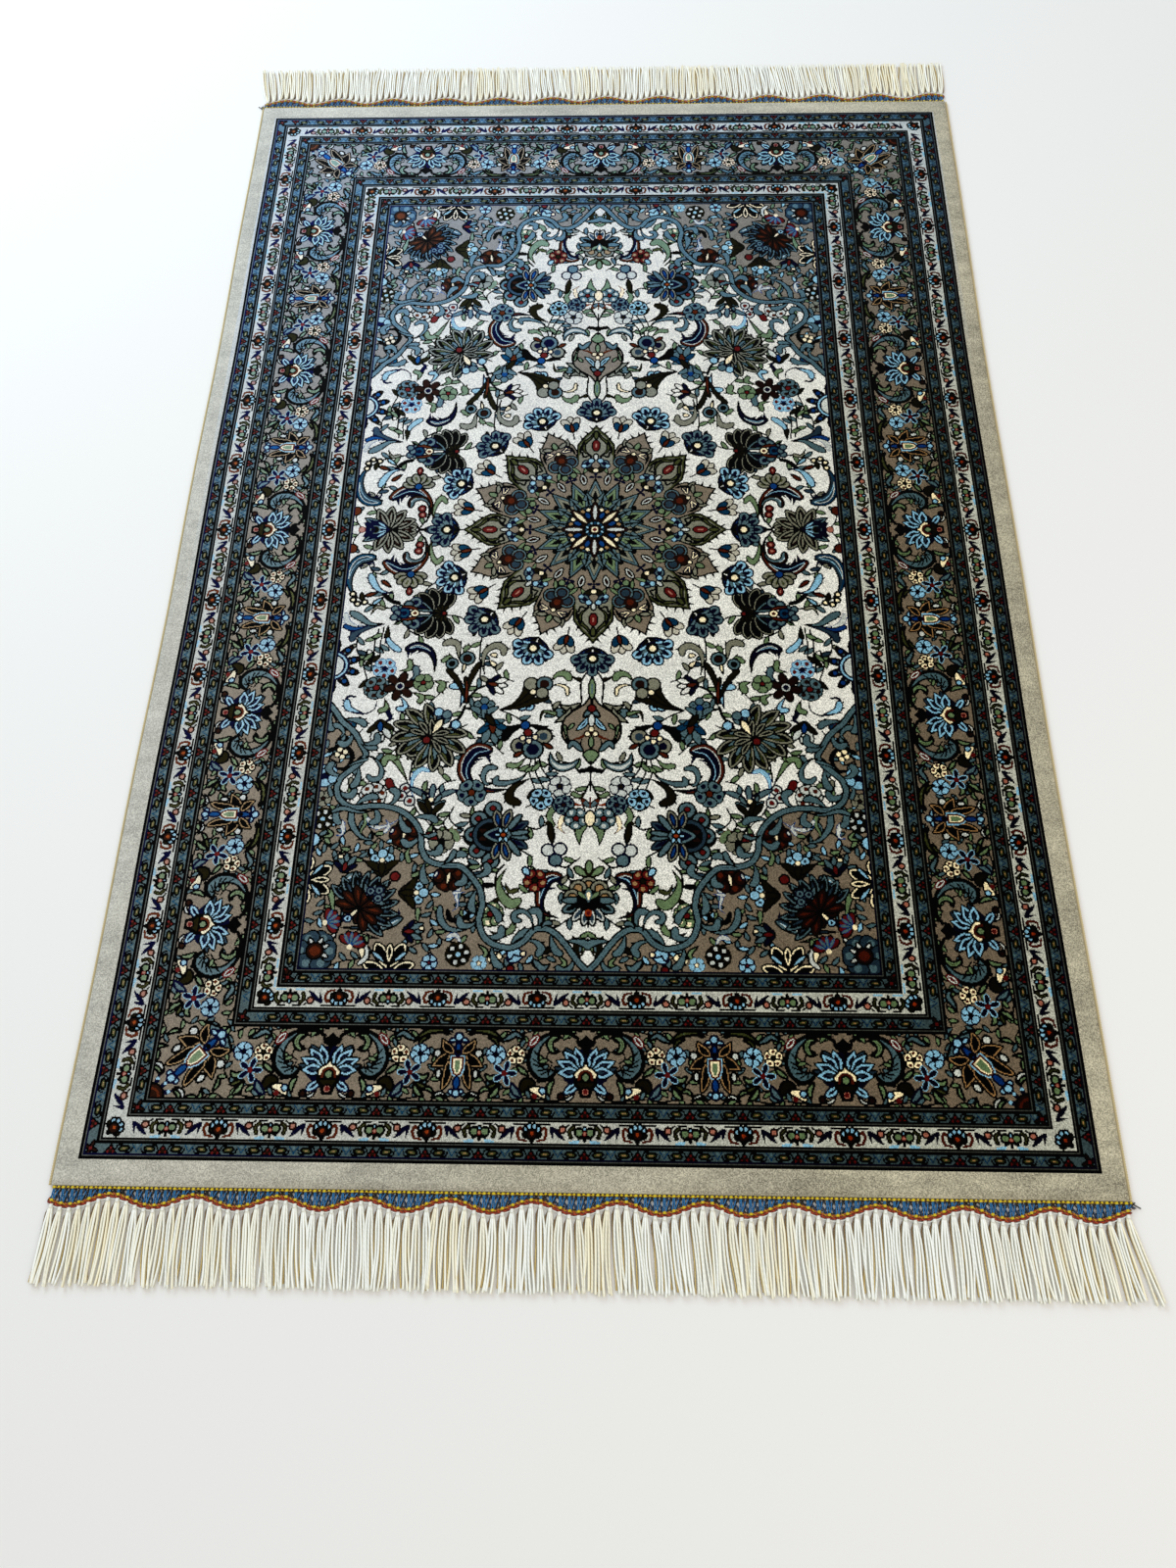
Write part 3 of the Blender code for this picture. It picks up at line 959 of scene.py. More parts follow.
def in_spandrel(s):
    """The vines, scrolls and flowers inside the corner piece."""
    for path in chart(SPANDREL_VINES):
        vine(s, path, 6.5, ("slate", "sky", "slate", "sage"), 10, 4.8)
    # scrolls
    for path, width, fill in chart("""
        224,320 222,336 212,349 202,351 204,342 | 8 | slate
        212,322 209,333 213,344 207,350 | 6 | sage
        134,416 133,428 125,438 110,438 101,428 | 8 | slate
        127,420 124,429 115,430 108,424 105,412 101,412 | 5 | black
        254,262 240,254 229,264 234,278 248,276 250,266 243,262 | 5 | black
        258,236 247,232 240,240 246,248 | 8 | slate
        228,288 226,298 218,306 | 6 | grey
        236,400 232,414 229,430 | 7 | sage
        218,444 198,446 186,448 | 6 | sage
        198,446 196,454 | 5 | sage
        218,372 205,373 | 6 | sage
        154,418 153,436 | 6 | sage
        165,375 168,365 163,356 | 6 | sage
        162,388 152,384 146,388 | 6 | sage
        202,455 199,470 | 7 | cream
        244,318 236,322 226,320 | 6 | sage
    """):
        leaf(s, path, width * 0.85, fill)
    # blue and cream scrolls
    for path, width in chart("""
        209,329 200,339 188,337 177,330 | 6
        191,345 187,337 192,330 | 5
        116,394 120,405 118,416 123,422 | 6
        124,404 112,403 | 5
        242,332 232,335 230,346 238,348 | 8
        126,446 118,444 114,452 120,455 | 6
    """):
        leaf(s, path, width * 0.8, "silver", "blue", 2)
    # the big palmette, with a pair of combed leaves behind it
    saz(s, "209,386 219,390 224,402 222,420 222,436", 9, "slate", "steel", 5)
    saz(s, "168,428 178,434 192,438 206,438 222,438", 9, "slate", "steel", 5)
    p = s.at(205, 417, 226)
    p.fan((150, 125), 18, 8, "black 0.9 umber 1.2 black")
    for turn in (104, 84, 64, 44, 24, 6):
        p.fan((turn,), 36, 9, "black 0.8 slate 1.2 black 1.4 navy", x=-2, bend=-0.14)
        p.fan((turn - 9,), 30, 4, "black 0.5 steel", x=-2)
    p.dot(3, 0, 11, "black 1 umber")
    p.fan((110, 78, 46, 15), 23, 9, "black 0.8 umber 2.3 rust", x=-4, bend=0.15)
    p.fan((60, 25), 17, 5, "black 0.7 slate 1.2 navy", x=8)
    p.dots("15,5 15,-5 21,0", 4, "navy 0.8 slate 1.4 navy")
    p.line("-16,0 -4,0", 5, "black 0.9 cream", "leaf")
    p.dot(-17, 0, 4, "navy 1 sky 1.2 navy")
    p.dot(40, 0, 5, "black 1 maroon")
    # dark lilies on both edges
    for x, y, turn in ((262, 392, 180), (176, 478, -90)):
        t = s.at(x, y, turn)
        t.line("2,-22 10,-10", 5, "black 0.8 maroon", "leaf")
        dark_lily(t)
    # paired small flowers, alike on both sides of the diagonal
    for x, y, turn in ((190, 379, -88), (163, 404, 180)):
        carnation(s.at(x, y, turn, 1.1), "sky", "olive")
    tulip(s.at(225, 385, -98, 0.8), "slate", "navy", "maroon")
    s.dot(229, 369, 2.6, "black 0.7 cream")
    tulip(s.at(166, 441, 180, 0.8), "slate", "navy", "maroon")
    s.dot(149, 438, 2.6, "black 0.7 cream")
    for x, y in ((172, 346), (128, 389)):
        t = s.at(x, y, 45)
        rosette(t, 15, 5, "umber", "umber", "rust")
        t.line("-4,-3 5,3", 2.4, "cream", "leaf")
        t.line("9,-9 3,-12", 4, "navy 0.8 silver", "leaf")
    for x, y, turn in ((250, 331, 0), (115, 462, 0)):
        rosette(s.at(x, y, turn), 12, 6, "black", "sky", "silver", edge="olive")
    for x, y, turn in ((236, 433, 200), (212, 455, 250)):
        t = s.at(x, y, turn)
        leaf(t, "-14,-14 -3,-18 8,-10 12,2", 5, "silver")
        t.fan((0, 32, 64), 14, 7, "black 0.7 maroon")
        t.fan((16, 48), 13, 3.4, "blue 0.5 slate")
        t.dot(-1, 0, 2.4, "cream")
    corner = s.at(243, 460, 225)
    rosette(corner, 21, 6, "steel", "umber", "slate")
    corner.fan((20, 70), 14, 5, "black 0.9 silver")
    corner.dot(0, 0, 8, "black 1 umber 2 rust")
    # along the side
    t = s.at(262, 165, 180)
    for turn in (-80, -48, -16, 16, 48, 80):
        t.blade(0, 0, turn, 30, 13, f"black 1.2 {'umber' if turn % 32 else 'teal'} 1.8 slate", "drop")
        t.at(0, 0, turn).dot(24, 0, 3.2, "black 0.8 blue")
    t.dot(2, 0, 17, "navy 1.4 sky 1.8 navy 2 silver")
    rosette(s.at(252, 286, 0), 13, 5, "sky", "navy", edge="navy")
    rosette(s.at(252, 310, 0), 9, 5, "grey", "umber")
    rosette(s.at(240, 262, 0), 7, 4, "cream", "umber")
    s.line("262,345 254,352 262,360", 9, "black 1.1 sky", "egg")
    s.dot(258, 362, 4, "black 0.9 maroon")
    s.line("250,350 240,347 246,340", 5, "black 1 sage", "leaf")
    # along the end
    for side in (1, -1):
        s.at(57, 462, flip=side).line("0,0 10,4 12,-4", 8, "navy 1 sky", "egg")
    s.line("49,465 40,474 33,470", 7, "black 1 slate", "leaf")
    s.dot(57, 461, 3, "navy 0.9 cream")
    s.line("45,448 38,458 30,452", 7, "black 1.4 olive", "leaf")
    rosette(s.at(82, 465), 7, 4, "cream", "maroon")
    s.line("98,452 90,460 96,468", 5, "black 1 sage", "leaf")
    rosette(s.at(96, 470), 8, 5, "sky", "cream", edge="steel")
    s.line("74,455 84,458", 6, "black 1 slate", "egg")
    s.line("30,474 20,470 26,462", 5, "black 1 sage", "leaf")
    s.dot(68, 475, 4, "black 0.9 maroon")
    rosette(s.at(140, 470), 8, 5, "sky", "maroon", edge="navy")


STEMS = """
186,1 181,8 177,14 | 2
140,0 186,1 | 1.4
150,106 140,106 128,112 120,118 | 1.6
200,91 208,88 216,80 | 5
204,98 222,95 236,90 | 2
217,122 220,140 218,158 212,172 | 1.8
212,120 214,140 213,155 | 1.6
226,146 229,162 222,184 | 1.6
226,146 221,150 221,172 | 1.4
112,130 113,150 111,170 112,186 118,198 125,206 | 1.8
125,212 112,214 95,214 | 3
112,214 103,217 96,226 | 5
90,214 75,221 64,230 | 1.6
125,206 114,192 103,186 | 2.4
124,210 128,222 136,228 | 3
57,266 58,282 51,302 | 1.6
53,266 52,282 44,298 | 1.6
50,264 46,278 36,292 | 1.8
172,290 170,268 168,262 | 1.8
168,312 160,325 151,334 140,346 | 1.6
150,330 146,338 136,346 | 1.6
132,326 136,336 124,347 110,347 | 1.6
128,318 131,330 118,342 108,342 | 1.6
78,376 84,384 85,396 81,410 | 2
94,372 99,378 95,384 89,382 | 1.8
65,335 50,340 42,336 36,334 | 1.8
62,362 52,368 | 1.8
0,290 4,300 8,310 5,320 | 1.8
246,2 252,10 255,22 | 1.6
0,430 0,447 14,450 | 1.8
"""

FIELD_VINES = """
146,60 160,64 172,74 176,86
196,102 190,118 180,128 166,132
232,120 238,134 236,150 226,158
120,230 134,240 138,256 130,268
84,262 92,254 100,244 116,246
200,230 186,244 190,260 204,262
222,236 230,248 228,262
128,290 140,294 150,306 160,300
60,318 50,312 42,300 30,304
92,330 104,324 112,330 110,340
56,374 46,384 50,400 60,404
104,360 112,368 106,384 98,390
10,282 20,272 34,270 44,276
8,368 20,380 16,396 24,402
190,214 176,222 164,220
150,196 160,210 154,226 144,230
24,230 36,218 40,204
78,182 92,176 98,164
150,22 162,18 168,4
228,20 236,30 232,50 222,56
6,420 18,428 30,436 40,430
178,236 168,262 156,272 140,276
"""

PALE_LEAVES = """
158,34 164,41 170,30 172,12 | 7 | sage | olive
213,98 222,96 227,105 | 5 | grey | olive
232,56 228,66 220,76 208,79 | 9 | sky | navy
253,103 250,113 240,119 226,116 | 7 | silver | blue
193,148 203,140 208,130 208,118 | 8 | sky | navy
208,132 208,118 | 6 | olive | black
140,188 130,188 126,196 129,212 | 9 | sky | navy
89,152 90,144 98,141 107,148 109,160 107,174 | 9 | grey | black
97,152 103,152 | 6 | cream | black
97,164 103,158 | 6 | cream | black
150,140 144,137 136,140 134,152 132,160 | 9 | grey | black
150,160 143,154 138,158 | 6 | sage | olive
124,142 128,146 128,152 | 6 | sage | olive
22,180 26,174 34,174 41,182 | 9 | sage | olive
24,198 25,190 32,186 42,187 | 5 | cream | black
11,180 19,178 | 5 | olive | black
80,274 70,274 62,266 | 7 | sage | olive
89,277 98,277 102,286 98,294 88,290 | 7 | slate | black
88,286 90,292 80,293 66,288 59,280 | 7 | slate | black
153,281 162,279 169,290 167,312 | 6 | sky | blue
198,276 196,267 188,268 180,280 173,293 | 8 | sage | olive
186,258 184,266 188,270 | 5 | sage | olive
213,295 223,292 228,302 226,314 | 7 | sage | olive
192,290 188,298 178,302 | 9 | maroon | black
17,303 10,306 6,302 | 6 | sage | olive
33,316 38,327 34,336 43,333 | 7 | sage | olive
25,326 28,338 22,345 | 6 | cream | rust
5,334 10,343 9,356 | 10 | sage | black
18,312 11,315 3,314 | 3 | orange | rust
62,410 70,414 79,405 82,392 76,380 | 11 | sage | olive
64,400 72,402 76,394 | 5 | moss | olive
66,432 70,440 80,443 88,440 | 7 | sage | olive
183,158 182,168 192,171 | 7 | sage | olive
176,166 175,176 182,182 | 8 | slate | navy
150,193 148,185 156,182 | 9 | sage | olive
170,206 167,200 177,195 | 7 | sage | olive
208,216 201,212 204,202 | 7 | sage | olive
191,213 183,213 184,206 190,198 | 7 | sky | navy
232,200 240,200 242,208 236,216 222,219 213,214 211,205 | 2.2 | navy | navy
241,204 238,213 224,218 | 8 | sky | navy
200,216 196,224 202,228 | 5 | navy | navy
14,448 4,452 5,462 | 8 | sage | olive
12,452 6,464 | 4 | olive | olive
244,136 240,126 228,120 212,116 | 9 | steel | navy
248,102 238,108 226,116 212,116 | 9 | slate | black
254,118 242,122 228,118 | 6 | blue | navy
138,340 134,344 130,342 | 6 | sage | olive
122,352 128,342 133,348 | 9 | sage | rust
"""

COMBED_LEAVES = """
219,40 203,51 188,49 178,38 175,26 178,10 | 13 | rust | navy | 5
197,29 195,38 186,41 178,35 175,22 | 8 | umber | slate | 0
229,35 243,37 251,46 254,61 250,76 241,86 | 12 | teal | steel | 4
187,146 176,142 164,147 158,158 157,172 | 10 | navy | navy | 4
96,258 110,258 119,270 120,284 110,297 92,301 78,299 | 15 | rust | navy | 5
26,387 37,389 43,402 44,414 39,423 27,427 | 12 | rust | navy | 3
"""


def field_flowers(c):
    """The vines, leaves and flowers of the ivory ground."""
    s = Spot(c, 0, 0)
    for path in chart(FIELD_VINES):
        vine(s, path, 8, ("sage", "slate", "grey", "steel"), 11.5, 5.2)
    for path, width in chart(STEMS):
        vine(s, path, 13, ("sage", "slate", "olive", "grey"), 12, 5.2)
        s.line(path, width, "black")
    for path, width, outer, inner, teeth in chart(COMBED_LEAVES):
        saz(s, path, width, outer, inner, teeth)
    for path, width, fill, edge in chart(PALE_LEAVES):
        leaf(s, path, width * 0.9, fill, edge)
    # by the side's middle
    thistle(s.at(219, 0))
    s.dot(246, 0, 4, "maroon 0.9 pink")
    s.dot(254, 24, 5.8, "black 0.9 rust")
    s.dots("183,19 184,27", 4.6, "black 0.9 maroon 1.8 pink")
    s.dots("248,80 247,87 242,92 235,90", 3.6, "black 1.6 cream")
    t = s.at(190, 56, 90)
    t.fan((80, 50, 18), 17, 10, "black 1 grey 2.6 moss")
    t.blade(14, 0, 0, 11, 7, "black 0.8 maroon 1.6 pink")
    t.dot(0, 0, 4.4, "black 0.8 blue")
    for x, y, turn, fill in ((209, 72, -40, "rust"), (222, 78, 20, "rust"), (216, 84, 40, "sky")):
        s.blade(x, y, turn, 13, 8, f"black 1 {fill}", "drop")
    peony(s.at(165, 103))
    # the four-flower spray beside the corner piece
    rosette(s.at(207, 168), 13, 5, "sky", "navy", "maroon", edge="blue")
    rosette(s.at(213, 190), 14, 6, "slate", "maroon", "umber")
    star_flower(s.at(190, 188), 15, 6, "umber", heart="navy")
    s.at(190, 188).dot(0, 0, 4.2, "silver 1.2 navy")
    rosette(s.at(167, 184), 11, 5, "sage", "maroon")
    tulip(s.at(206, 226, 98, 0.95), "silver", "olive", "blue")
    s.dot(236, 231, 7.5, "black 1 teal 3.5 rust")
    # around the branching stem
    for path, width in chart("""
        112,160 119,176 123,192 122,208 | 6
        145,168 136,178 128,192 123,208 | 6
        126,176 124,190 122,206 | 4
    """):
        leaf(s, path, width, "olive")
    s.line("124,182 123,206", 2.4, "rust", "leaf")
    s.dot(125, 156, 8, "black 0.9 slate 2 black 1.6 umber")
    s.dot(140, 162, 6.5, "black 0.9 slate 1.8 black")
    s.blade(129, 173, -100, 11, 6, "black 0.8 cream", "drop")
    tulip(s.at(104, 184, 168, 0.85), "ivory", "navy", "rust")
    carnation(s.at(105, 216, -90, 1), "slate", "slate")
    s.dot(105, 211, 3, "blue")
    for x in (61, 68):
        s.dot(x, 210, 5.4, "navy 1.2 sky 2.2 navy")
    for path in chart("""
        64,182 66,196 76,208 90,214
        42,200 56,204 72,211 90,214
        54,192 66,203 80,212
    """):
        leaf(s, path, 7, "olive")
    s.dot(60, 185, 7.6, "black 1.1 grey")
    s.dot(47, 185, 8.6, "black 1.1 slate 2.4 umber")
    s.dot(49, 195, 6.6, "black 1.1 grey")
    s.dot(58, 194, 3.6, "black 0.8 cream")
    tulip(s.at(97, 225, 98, 1.1), "slate", "teal", "rust")
    s.line("104,218 98,226 94,232", 7, "black 0.9 olive", "leaf")
    # the dark-winged cluster
    for t in s.at(62, 230, 90).sides():
        leaf(t, "16,22 8,18 3,10 0,0", 9, "black")
    s.dot(46, 243, 8.5, "black 1.1 grey 3 steel")
    s.dot(69, 253, 8.5, "black 1.1 grey 3 navy")
    s.dot(56, 257, 10.5, "black 1.1 slate 3 navy")
    s.dots("66,245 60,248 54,244", 3.4, "navy 1 cream")
    s.dot(64, 231, 5, "black 0.9 blue")
    s.dot(61, 239, 4.6, "black 0.9 maroon")
    for x, y, turn in ((47, 250, 150), (64, 259, 30)):
        s.blade(x, y, turn, 11, 8, "black 0.9 rust", "drop")
    leaf(s, "66,314 76,309 73,298 58,288", 9, "olive")
    feathered(s.at(157, 245, 232))
    # small flowers towards the axis
    rosette(s.at(112, 303), 15, 5, "slate", "rust", "navy")
    s.blade(110, 317, 90, 11, 7, "olive 1 sage", "drop")
    rosette(s.at(29, 296), 12, 5, "silver", "olive", edge="navy")
    rosette(s.at(46, 309), 12, 5, "sky", "olive", "navy")
    rosette(s.at(25, 315), 11, 6, "slate", "umber", "navy", edge="navy")
    rosette(s.at(13, 329), 12, 5, "slate", "maroon", "silver")
    s.line("0,322 0,336", 11, "black 1 cream", "egg")
    s.line("0,308 0,318", 2, "rust")
    s.dot(7, 311, 2, "rust")
    s.dots("175,299 178,307 170,312", 5.6, "navy 1 silver 1.8 maroon")
    lily_bud(s.at(150, 322, -93, 1.05))
    rosette(s.at(205, 306), 14, 6, "silver", "umber", "rust")
    rosette(s.at(137, 353), 13, 5, "grey", "black")
    s.blade(139, 352, -30, 14, 8, "black 0.9 maroon")
    scalloped(s.at(80, 346))
    for x, y, fill in ((38, 361, "silver"), (27, 360, "silver"), (31, 371, "slate")):
        s.dot(x, y, 6.6, f"navy 1.2 {fill}")
    s.line("37,332 36,343 34,355", 7, "black 1 olive", "leaf")
    s.line("30,376 22,378 18,376", 2, "black")
    # along the long axis
    s.at(0, 388, -90).fan((52, 0), 17, 8, "olive 1.1 sage")
    jewel(s.at(0, 410, -90))
    rosette(s.at(49, 391), 12, 5, "maroon", "olive", "tan")
    s.blade(54, 387, -55, 10, 7, "navy 1 sky")
    rosette(s.at(88, 424), 13, 6, "sage", "maroon", "cream")
    s.blade(84, 396, 0, 12, 9, "black", "drop")


def draw_field(c):
    """One quarter of the field, kept inside its border."""
    inside = np.zeros(c.knots.shape, bool)
    inside[: ROWS - MARGIN - FIELD_STARTS, : COLUMNS - SIDE_MARGIN - FIELD_STARTS] = True
    c.limit = inside
    field_flowers(c)
    spandrel(c)
    pendant(c)
    centre = Spot(c, 0, 0)
    for k in range(5):
        bell(centre.at(0, 0, 22.5 * k).at(144, 0), "sky" if k % 2 else "slate")
        if k < 4:
            ring_tulip(centre.at(0, 0, 22.5 * k + 11.25).at(130, 0))
    medallion(c)
    c.limit = None


# ---------------------------------------------------------------- the rug's plan, as the CAD has it
PILE_LENGTH = 1.502
PILE_WIDTH = 0.9930
PILE_TOP = 0.0045
PILE_SAG = 0.0003  # the clipped pile lies this much under its highest tufts
PILE_ROLL = 0.0008
WAIST = 0.0042
RIPPLE_HEIGHT = 0.0008
RIPPLES = {-1: (3.5, 0.4), 1: (2.5, 1.9)}  # side: waves along the length, phase in radians
BINDING_DIAMETER = 0.0030
TRIM_SHALLOW = 0.0051
TRIM_DEEP = 0.0148
SCALLOP_PITCH = 0.0786
SCALLOP_START = -0.0068
CORD_DIAMETER = 0.0017
TASSELS_PER_SCALLOP = 9
HEAD_WIDTH = 0.0048
FRINGE_REACH = 0.0850
TIP_UNEVENNESS = 0.0008
LEAN = 0.0060
LEAN_WAVE = 0.36
CORNER_WIDTH = 0.035
CORNER_SPLAY = 0.0140
CORNER_SHEAR = 0.0040
GAP = 0.0003
FOUNDATION_TOP = 0.00125
FOUNDATION_EDGE = 0.0006
BACK_HEIGHT = 0.00015  # of the knots' backs above the floor
LAYER_GAP = 0.00005  # between the foundation and the pile
PILE_WAVES = 0.00008  # how far the pile waves, everywhere
EDGE_RIPPLES = 0.00018  # and how far it ripples along its sides
EDGE_STARTS = 0.86  # share of the half width where the ripples start
DESIGN_SHIFT = 0.0063  # the design's middle lies this much nearer than the rug's
SHIFT_FADES = 0.543  # and the shift has gone by this distance along


def half_width(side, y):
    """Distance from the middle line to the pile's edge. side is -1 for left and 1 for right."""
    along = 2 * y / PILE_LENGTH
    waves, phase = RIPPLES[side]
    ripple = RIPPLE_HEIGHT * np.sin(np.pi * waves * along + phase) * (1 - along**4)
    return PILE_WIDTH / 2 - WAIST * (1 - along * along) + ripple


def scallop(x):
    """Depth of the lace beyond the pile's end."""
    wave = 0.5 + 0.5 * np.cos(2 * np.pi * (x - SCALLOP_START) / SCALLOP_PITCH)
    return TRIM_SHALLOW + (TRIM_DEEP - TRIM_SHALLOW) * wave


def scallop_line(x, distance):
    """Points of the scalloped line moved outwards, square to itself, in the near end's own x and depth."""
    turn = 2 * np.pi / SCALLOP_PITCH
    slope = -0.5 * (TRIM_DEEP - TRIM_SHALLOW) * turn * np.sin(turn * (x - SCALLOP_START))
    length = np.hypot(1, slope)
    return np.stack([x - distance * slope / length, scallop(x) + distance / length], 1)


def tassel_lean(x):
    """Sideways drift of a tassel's tip. The last ones splay out at the corners."""
    drift = LEAN * (0.5 + 0.5 * np.sin(2 * np.pi * x / LEAN_WAVE))
    into_right = max(0.0, (x - PILE_WIDTH / 2) / CORNER_WIDTH + 1)
    into_left = max(0.0, (-x - PILE_WIDTH / 2) / CORNER_WIDTH + 1)
    return drift * (1 - into_left) + CORNER_SPLAY * into_right**2 - CORNER_SHEAR * into_left**2


def at_end(end, x, out, z):
    """Points beyond one end, from its own x and depth. The far end is the near one turned half round."""
    x, out, z = np.broadcast_arrays(x, out, z)
    sign = 1 if end == "near" else -1
    return np.stack([sign * x, sign * (-PILE_LENGTH / 2 - GAP - out), z], -1)


# ---------------------------------------------------------------- meshes
def new_object(name, mesh):
    """A mesh's object, in the scene."""
    piece = bpy.data.objects.new(name, mesh)
    bpy.context.scene.collection.objects.link(piece)
    return piece


def store(mesh, name, kind, domain, values):
    """An attribute of the mesh, one value to each element of the domain."""
    layer = mesh.attributes.new(name, kind, domain)
    key = {"FLOAT": "value", "FLOAT_COLOR": "color"}.get(kind, "vector")
    layer.data.foreach_set(key, np.ascontiguousarray(values, np.float32).ravel())


# ---------------------------------------------------------------- pile and foundation
FACE_KNOTS = (6, 8)  # knots across and along one face of the carpet's grid
FACES_ACROSS = 2 * COLUMNS // FACE_KNOTS[0]
FACES_ALONG = 2 * ROWS // FACE_KNOTS[1]
DYE_BASE = 32  # dyes are stored as digits of this base, four to a number
MAP_MARGIN = 0.002  # the sheet's map stays this far inside its square


def whole_design():
    """The quarter, mirrored to all four: one row of knots after another from the near end."""
    cartoon = Cartoon()
    draw_borders(cartoon)
    draw_field(cartoon)
    half = np.concatenate([cartoon.knots[:, ::-1], cartoon.knots], 1)
    return np.concatenate([half[::-1], half], 0)


def packed(knots):
    """Each face's dyes as twelve numbers of four digits."""
    across, along = FACE_KNOTS
    faces = knots.reshape(FACES_ALONG, along, FACES_ACROSS, across).transpose(0, 2, 1, 3)
    digits = faces.reshape(-1, 12, 4).astype(float)
    return (digits * DYE_BASE ** np.arange(4.0)).sum(-1)


def carpet_grid(inset, heights):
    """Grid points over the whole carpet, rows from the near end, with a height from x and y."""
    share = np.linspace(-1, 1, FACES_ACROSS + 1)[None, :]
    along = np.linspace(-1, 1, FACES_ALONG + 1)[:, None] * (PILE_LENGTH / 2 - inset)
    y = along - DESIGN_SHIFT * np.clip(1 - (along / SHIFT_FADES) ** 2, 0, 1)
    y = np.broadcast_to(y, (FACES_ALONG + 1, FACES_ACROSS + 1))
    half = np.where(share < 0, half_width(-1, y), half_width(1, y)) - inset
    x = share * half
    return np.stack([x, y, heights(x, y)], -1)


def carpet_layer(name, top, grid_height, wall_height, cap_height):
    """A closed slab whose patterned grid is on top or underneath, with rolled walls and a flat cap."""
    grid = carpet_grid(PILE_ROLL, grid_height)
    rows, columns = grid.shape[:2]
    ring = np.concatenate([
        np.arange(columns),
        columns - 1 + columns * np.arange(1, rows),
        (rows - 1) * columns + np.arange(columns - 2, -1, -1),
        columns * np.arange(rows - 2, 0, -1),
    ])
    edge = carpet_grid(0, lambda x, y: 0 * x).reshape(-1, 3)[ring]
    wall = edge + (0, 0, wall_height)
    cap = edge + (0, 0, cap_height)
    points = np.vstack([grid.reshape(-1, 3), wall, cap])
    corner = (np.arange(rows - 1)[:, None] * columns + np.arange(columns - 1)[None, :]).ravel()
    quads = [np.stack([corner, corner + 1, corner + columns + 1, corner + columns], 1)]
    following = np.roll(np.arange(len(ring)), -1)
    first = rows * columns
    rings = (ring, first + np.arange(len(ring)), first + len(ring) + np.arange(len(ring)))
    for inner, outer in zip(rings[:-1], rings[1:]):
        quads.append(np.stack([inner, outer, outer[following], inner[following]], 1))
    loops = np.vstack(quads)
    cap_loop = rings[2]
    if not top:
        loops = loops[:, ::-1]
        cap_loop = cap_loop[::-1]
    faces = [*loops.tolist(), cap_loop[::-1].tolist()]
    mesh = bpy.data.meshes.new(name)
    mesh.from_pydata(points.tolist(), [], faces)
    store_design(mesh, top)
    mesh.polygons.foreach_set("use_smooth", np.ones(len(mesh.polygons), bool))
    mesh.update()
    return new_object(name, mesh)


def store_design(mesh, top):
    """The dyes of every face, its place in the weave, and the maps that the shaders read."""
    count = FACES_ACROSS * FACES_ALONG
    total = len(mesh.polygons)
    plain = DYE_NUMBERS["stone"] * (DYE_BASE ** np.arange(4.0)).sum()
    numbers = np.full((total, 4, 3), plain)
    numbers[:count] = packed(whole_design()).reshape(-1, 4, 3)
    for group in range(4):
        store(mesh, f"Dyes {group}", "FLOAT_VECTOR", "FACE", numbers[:, group])
    place = np.zeros((total, 3))
    row, column = np.divmod(np.arange(count), FACES_ACROSS)
    place[:count, 0] = column * FACE_KNOTS[0]
    place[:count, 1] = row * FACE_KNOTS[1]
    store(mesh, "Face Place", "FLOAT_VECTOR", "FACE", place)
    corners = np.array([(0, 0), (1, 0), (1, 1), (0, 1)], float)
    if not top:
        corners = corners[::-1]
    knots = np.zeros((len(mesh.loops), 2))
    knots[: 4 * count] = np.tile(corners * FACE_KNOTS, (count, 1))
    sheet = np.zeros((len(mesh.loops), 2))
    cells = np.stack([column, row], 1)[:, None, :] + corners[None]
    sheet[: 4 * count] = (cells / (FACES_ACROSS, FACES_ALONG)).reshape(-1, 2)
    sheet[4 * count :] = 2 * MAP_MARGIN
    inner = sheet * (1 - 2 * MAP_MARGIN) + MAP_MARGIN
    for name, values in (("Knots", knots), ("OFBake", inner)):
        layer = mesh.uv_layers.new(name=name)
        layer.data.foreach_set("uv", values.astype(np.float32).ravel())


def pile_height(x, y):
    """The clipped pile, a little uneven over the floor."""
    waves = np.sin(9.1 * y + 2.3 * x) + np.sin(14.7 * x - 5.2 * y + 1.1) + np.sin(23.0 * y + 7.0 * x + 2.0)
    edge = np.clip((np.abs(x) / (PILE_WIDTH / 2) - EDGE_STARTS) / (1 - EDGE_STARTS), 0, 1) ** 2
    ripple = np.sin(31.0 * y + 1.3) * edge * np.where(x > 0, 1.0, 0.5)
    return PILE_TOP - PILE_SAG + PILE_WAVES * waves + EDGE_RIPPLES * ripple


def back_height(x, _):
    """The knots' backs, just above the floor."""
    return BACK_HEIGHT + 0 * x


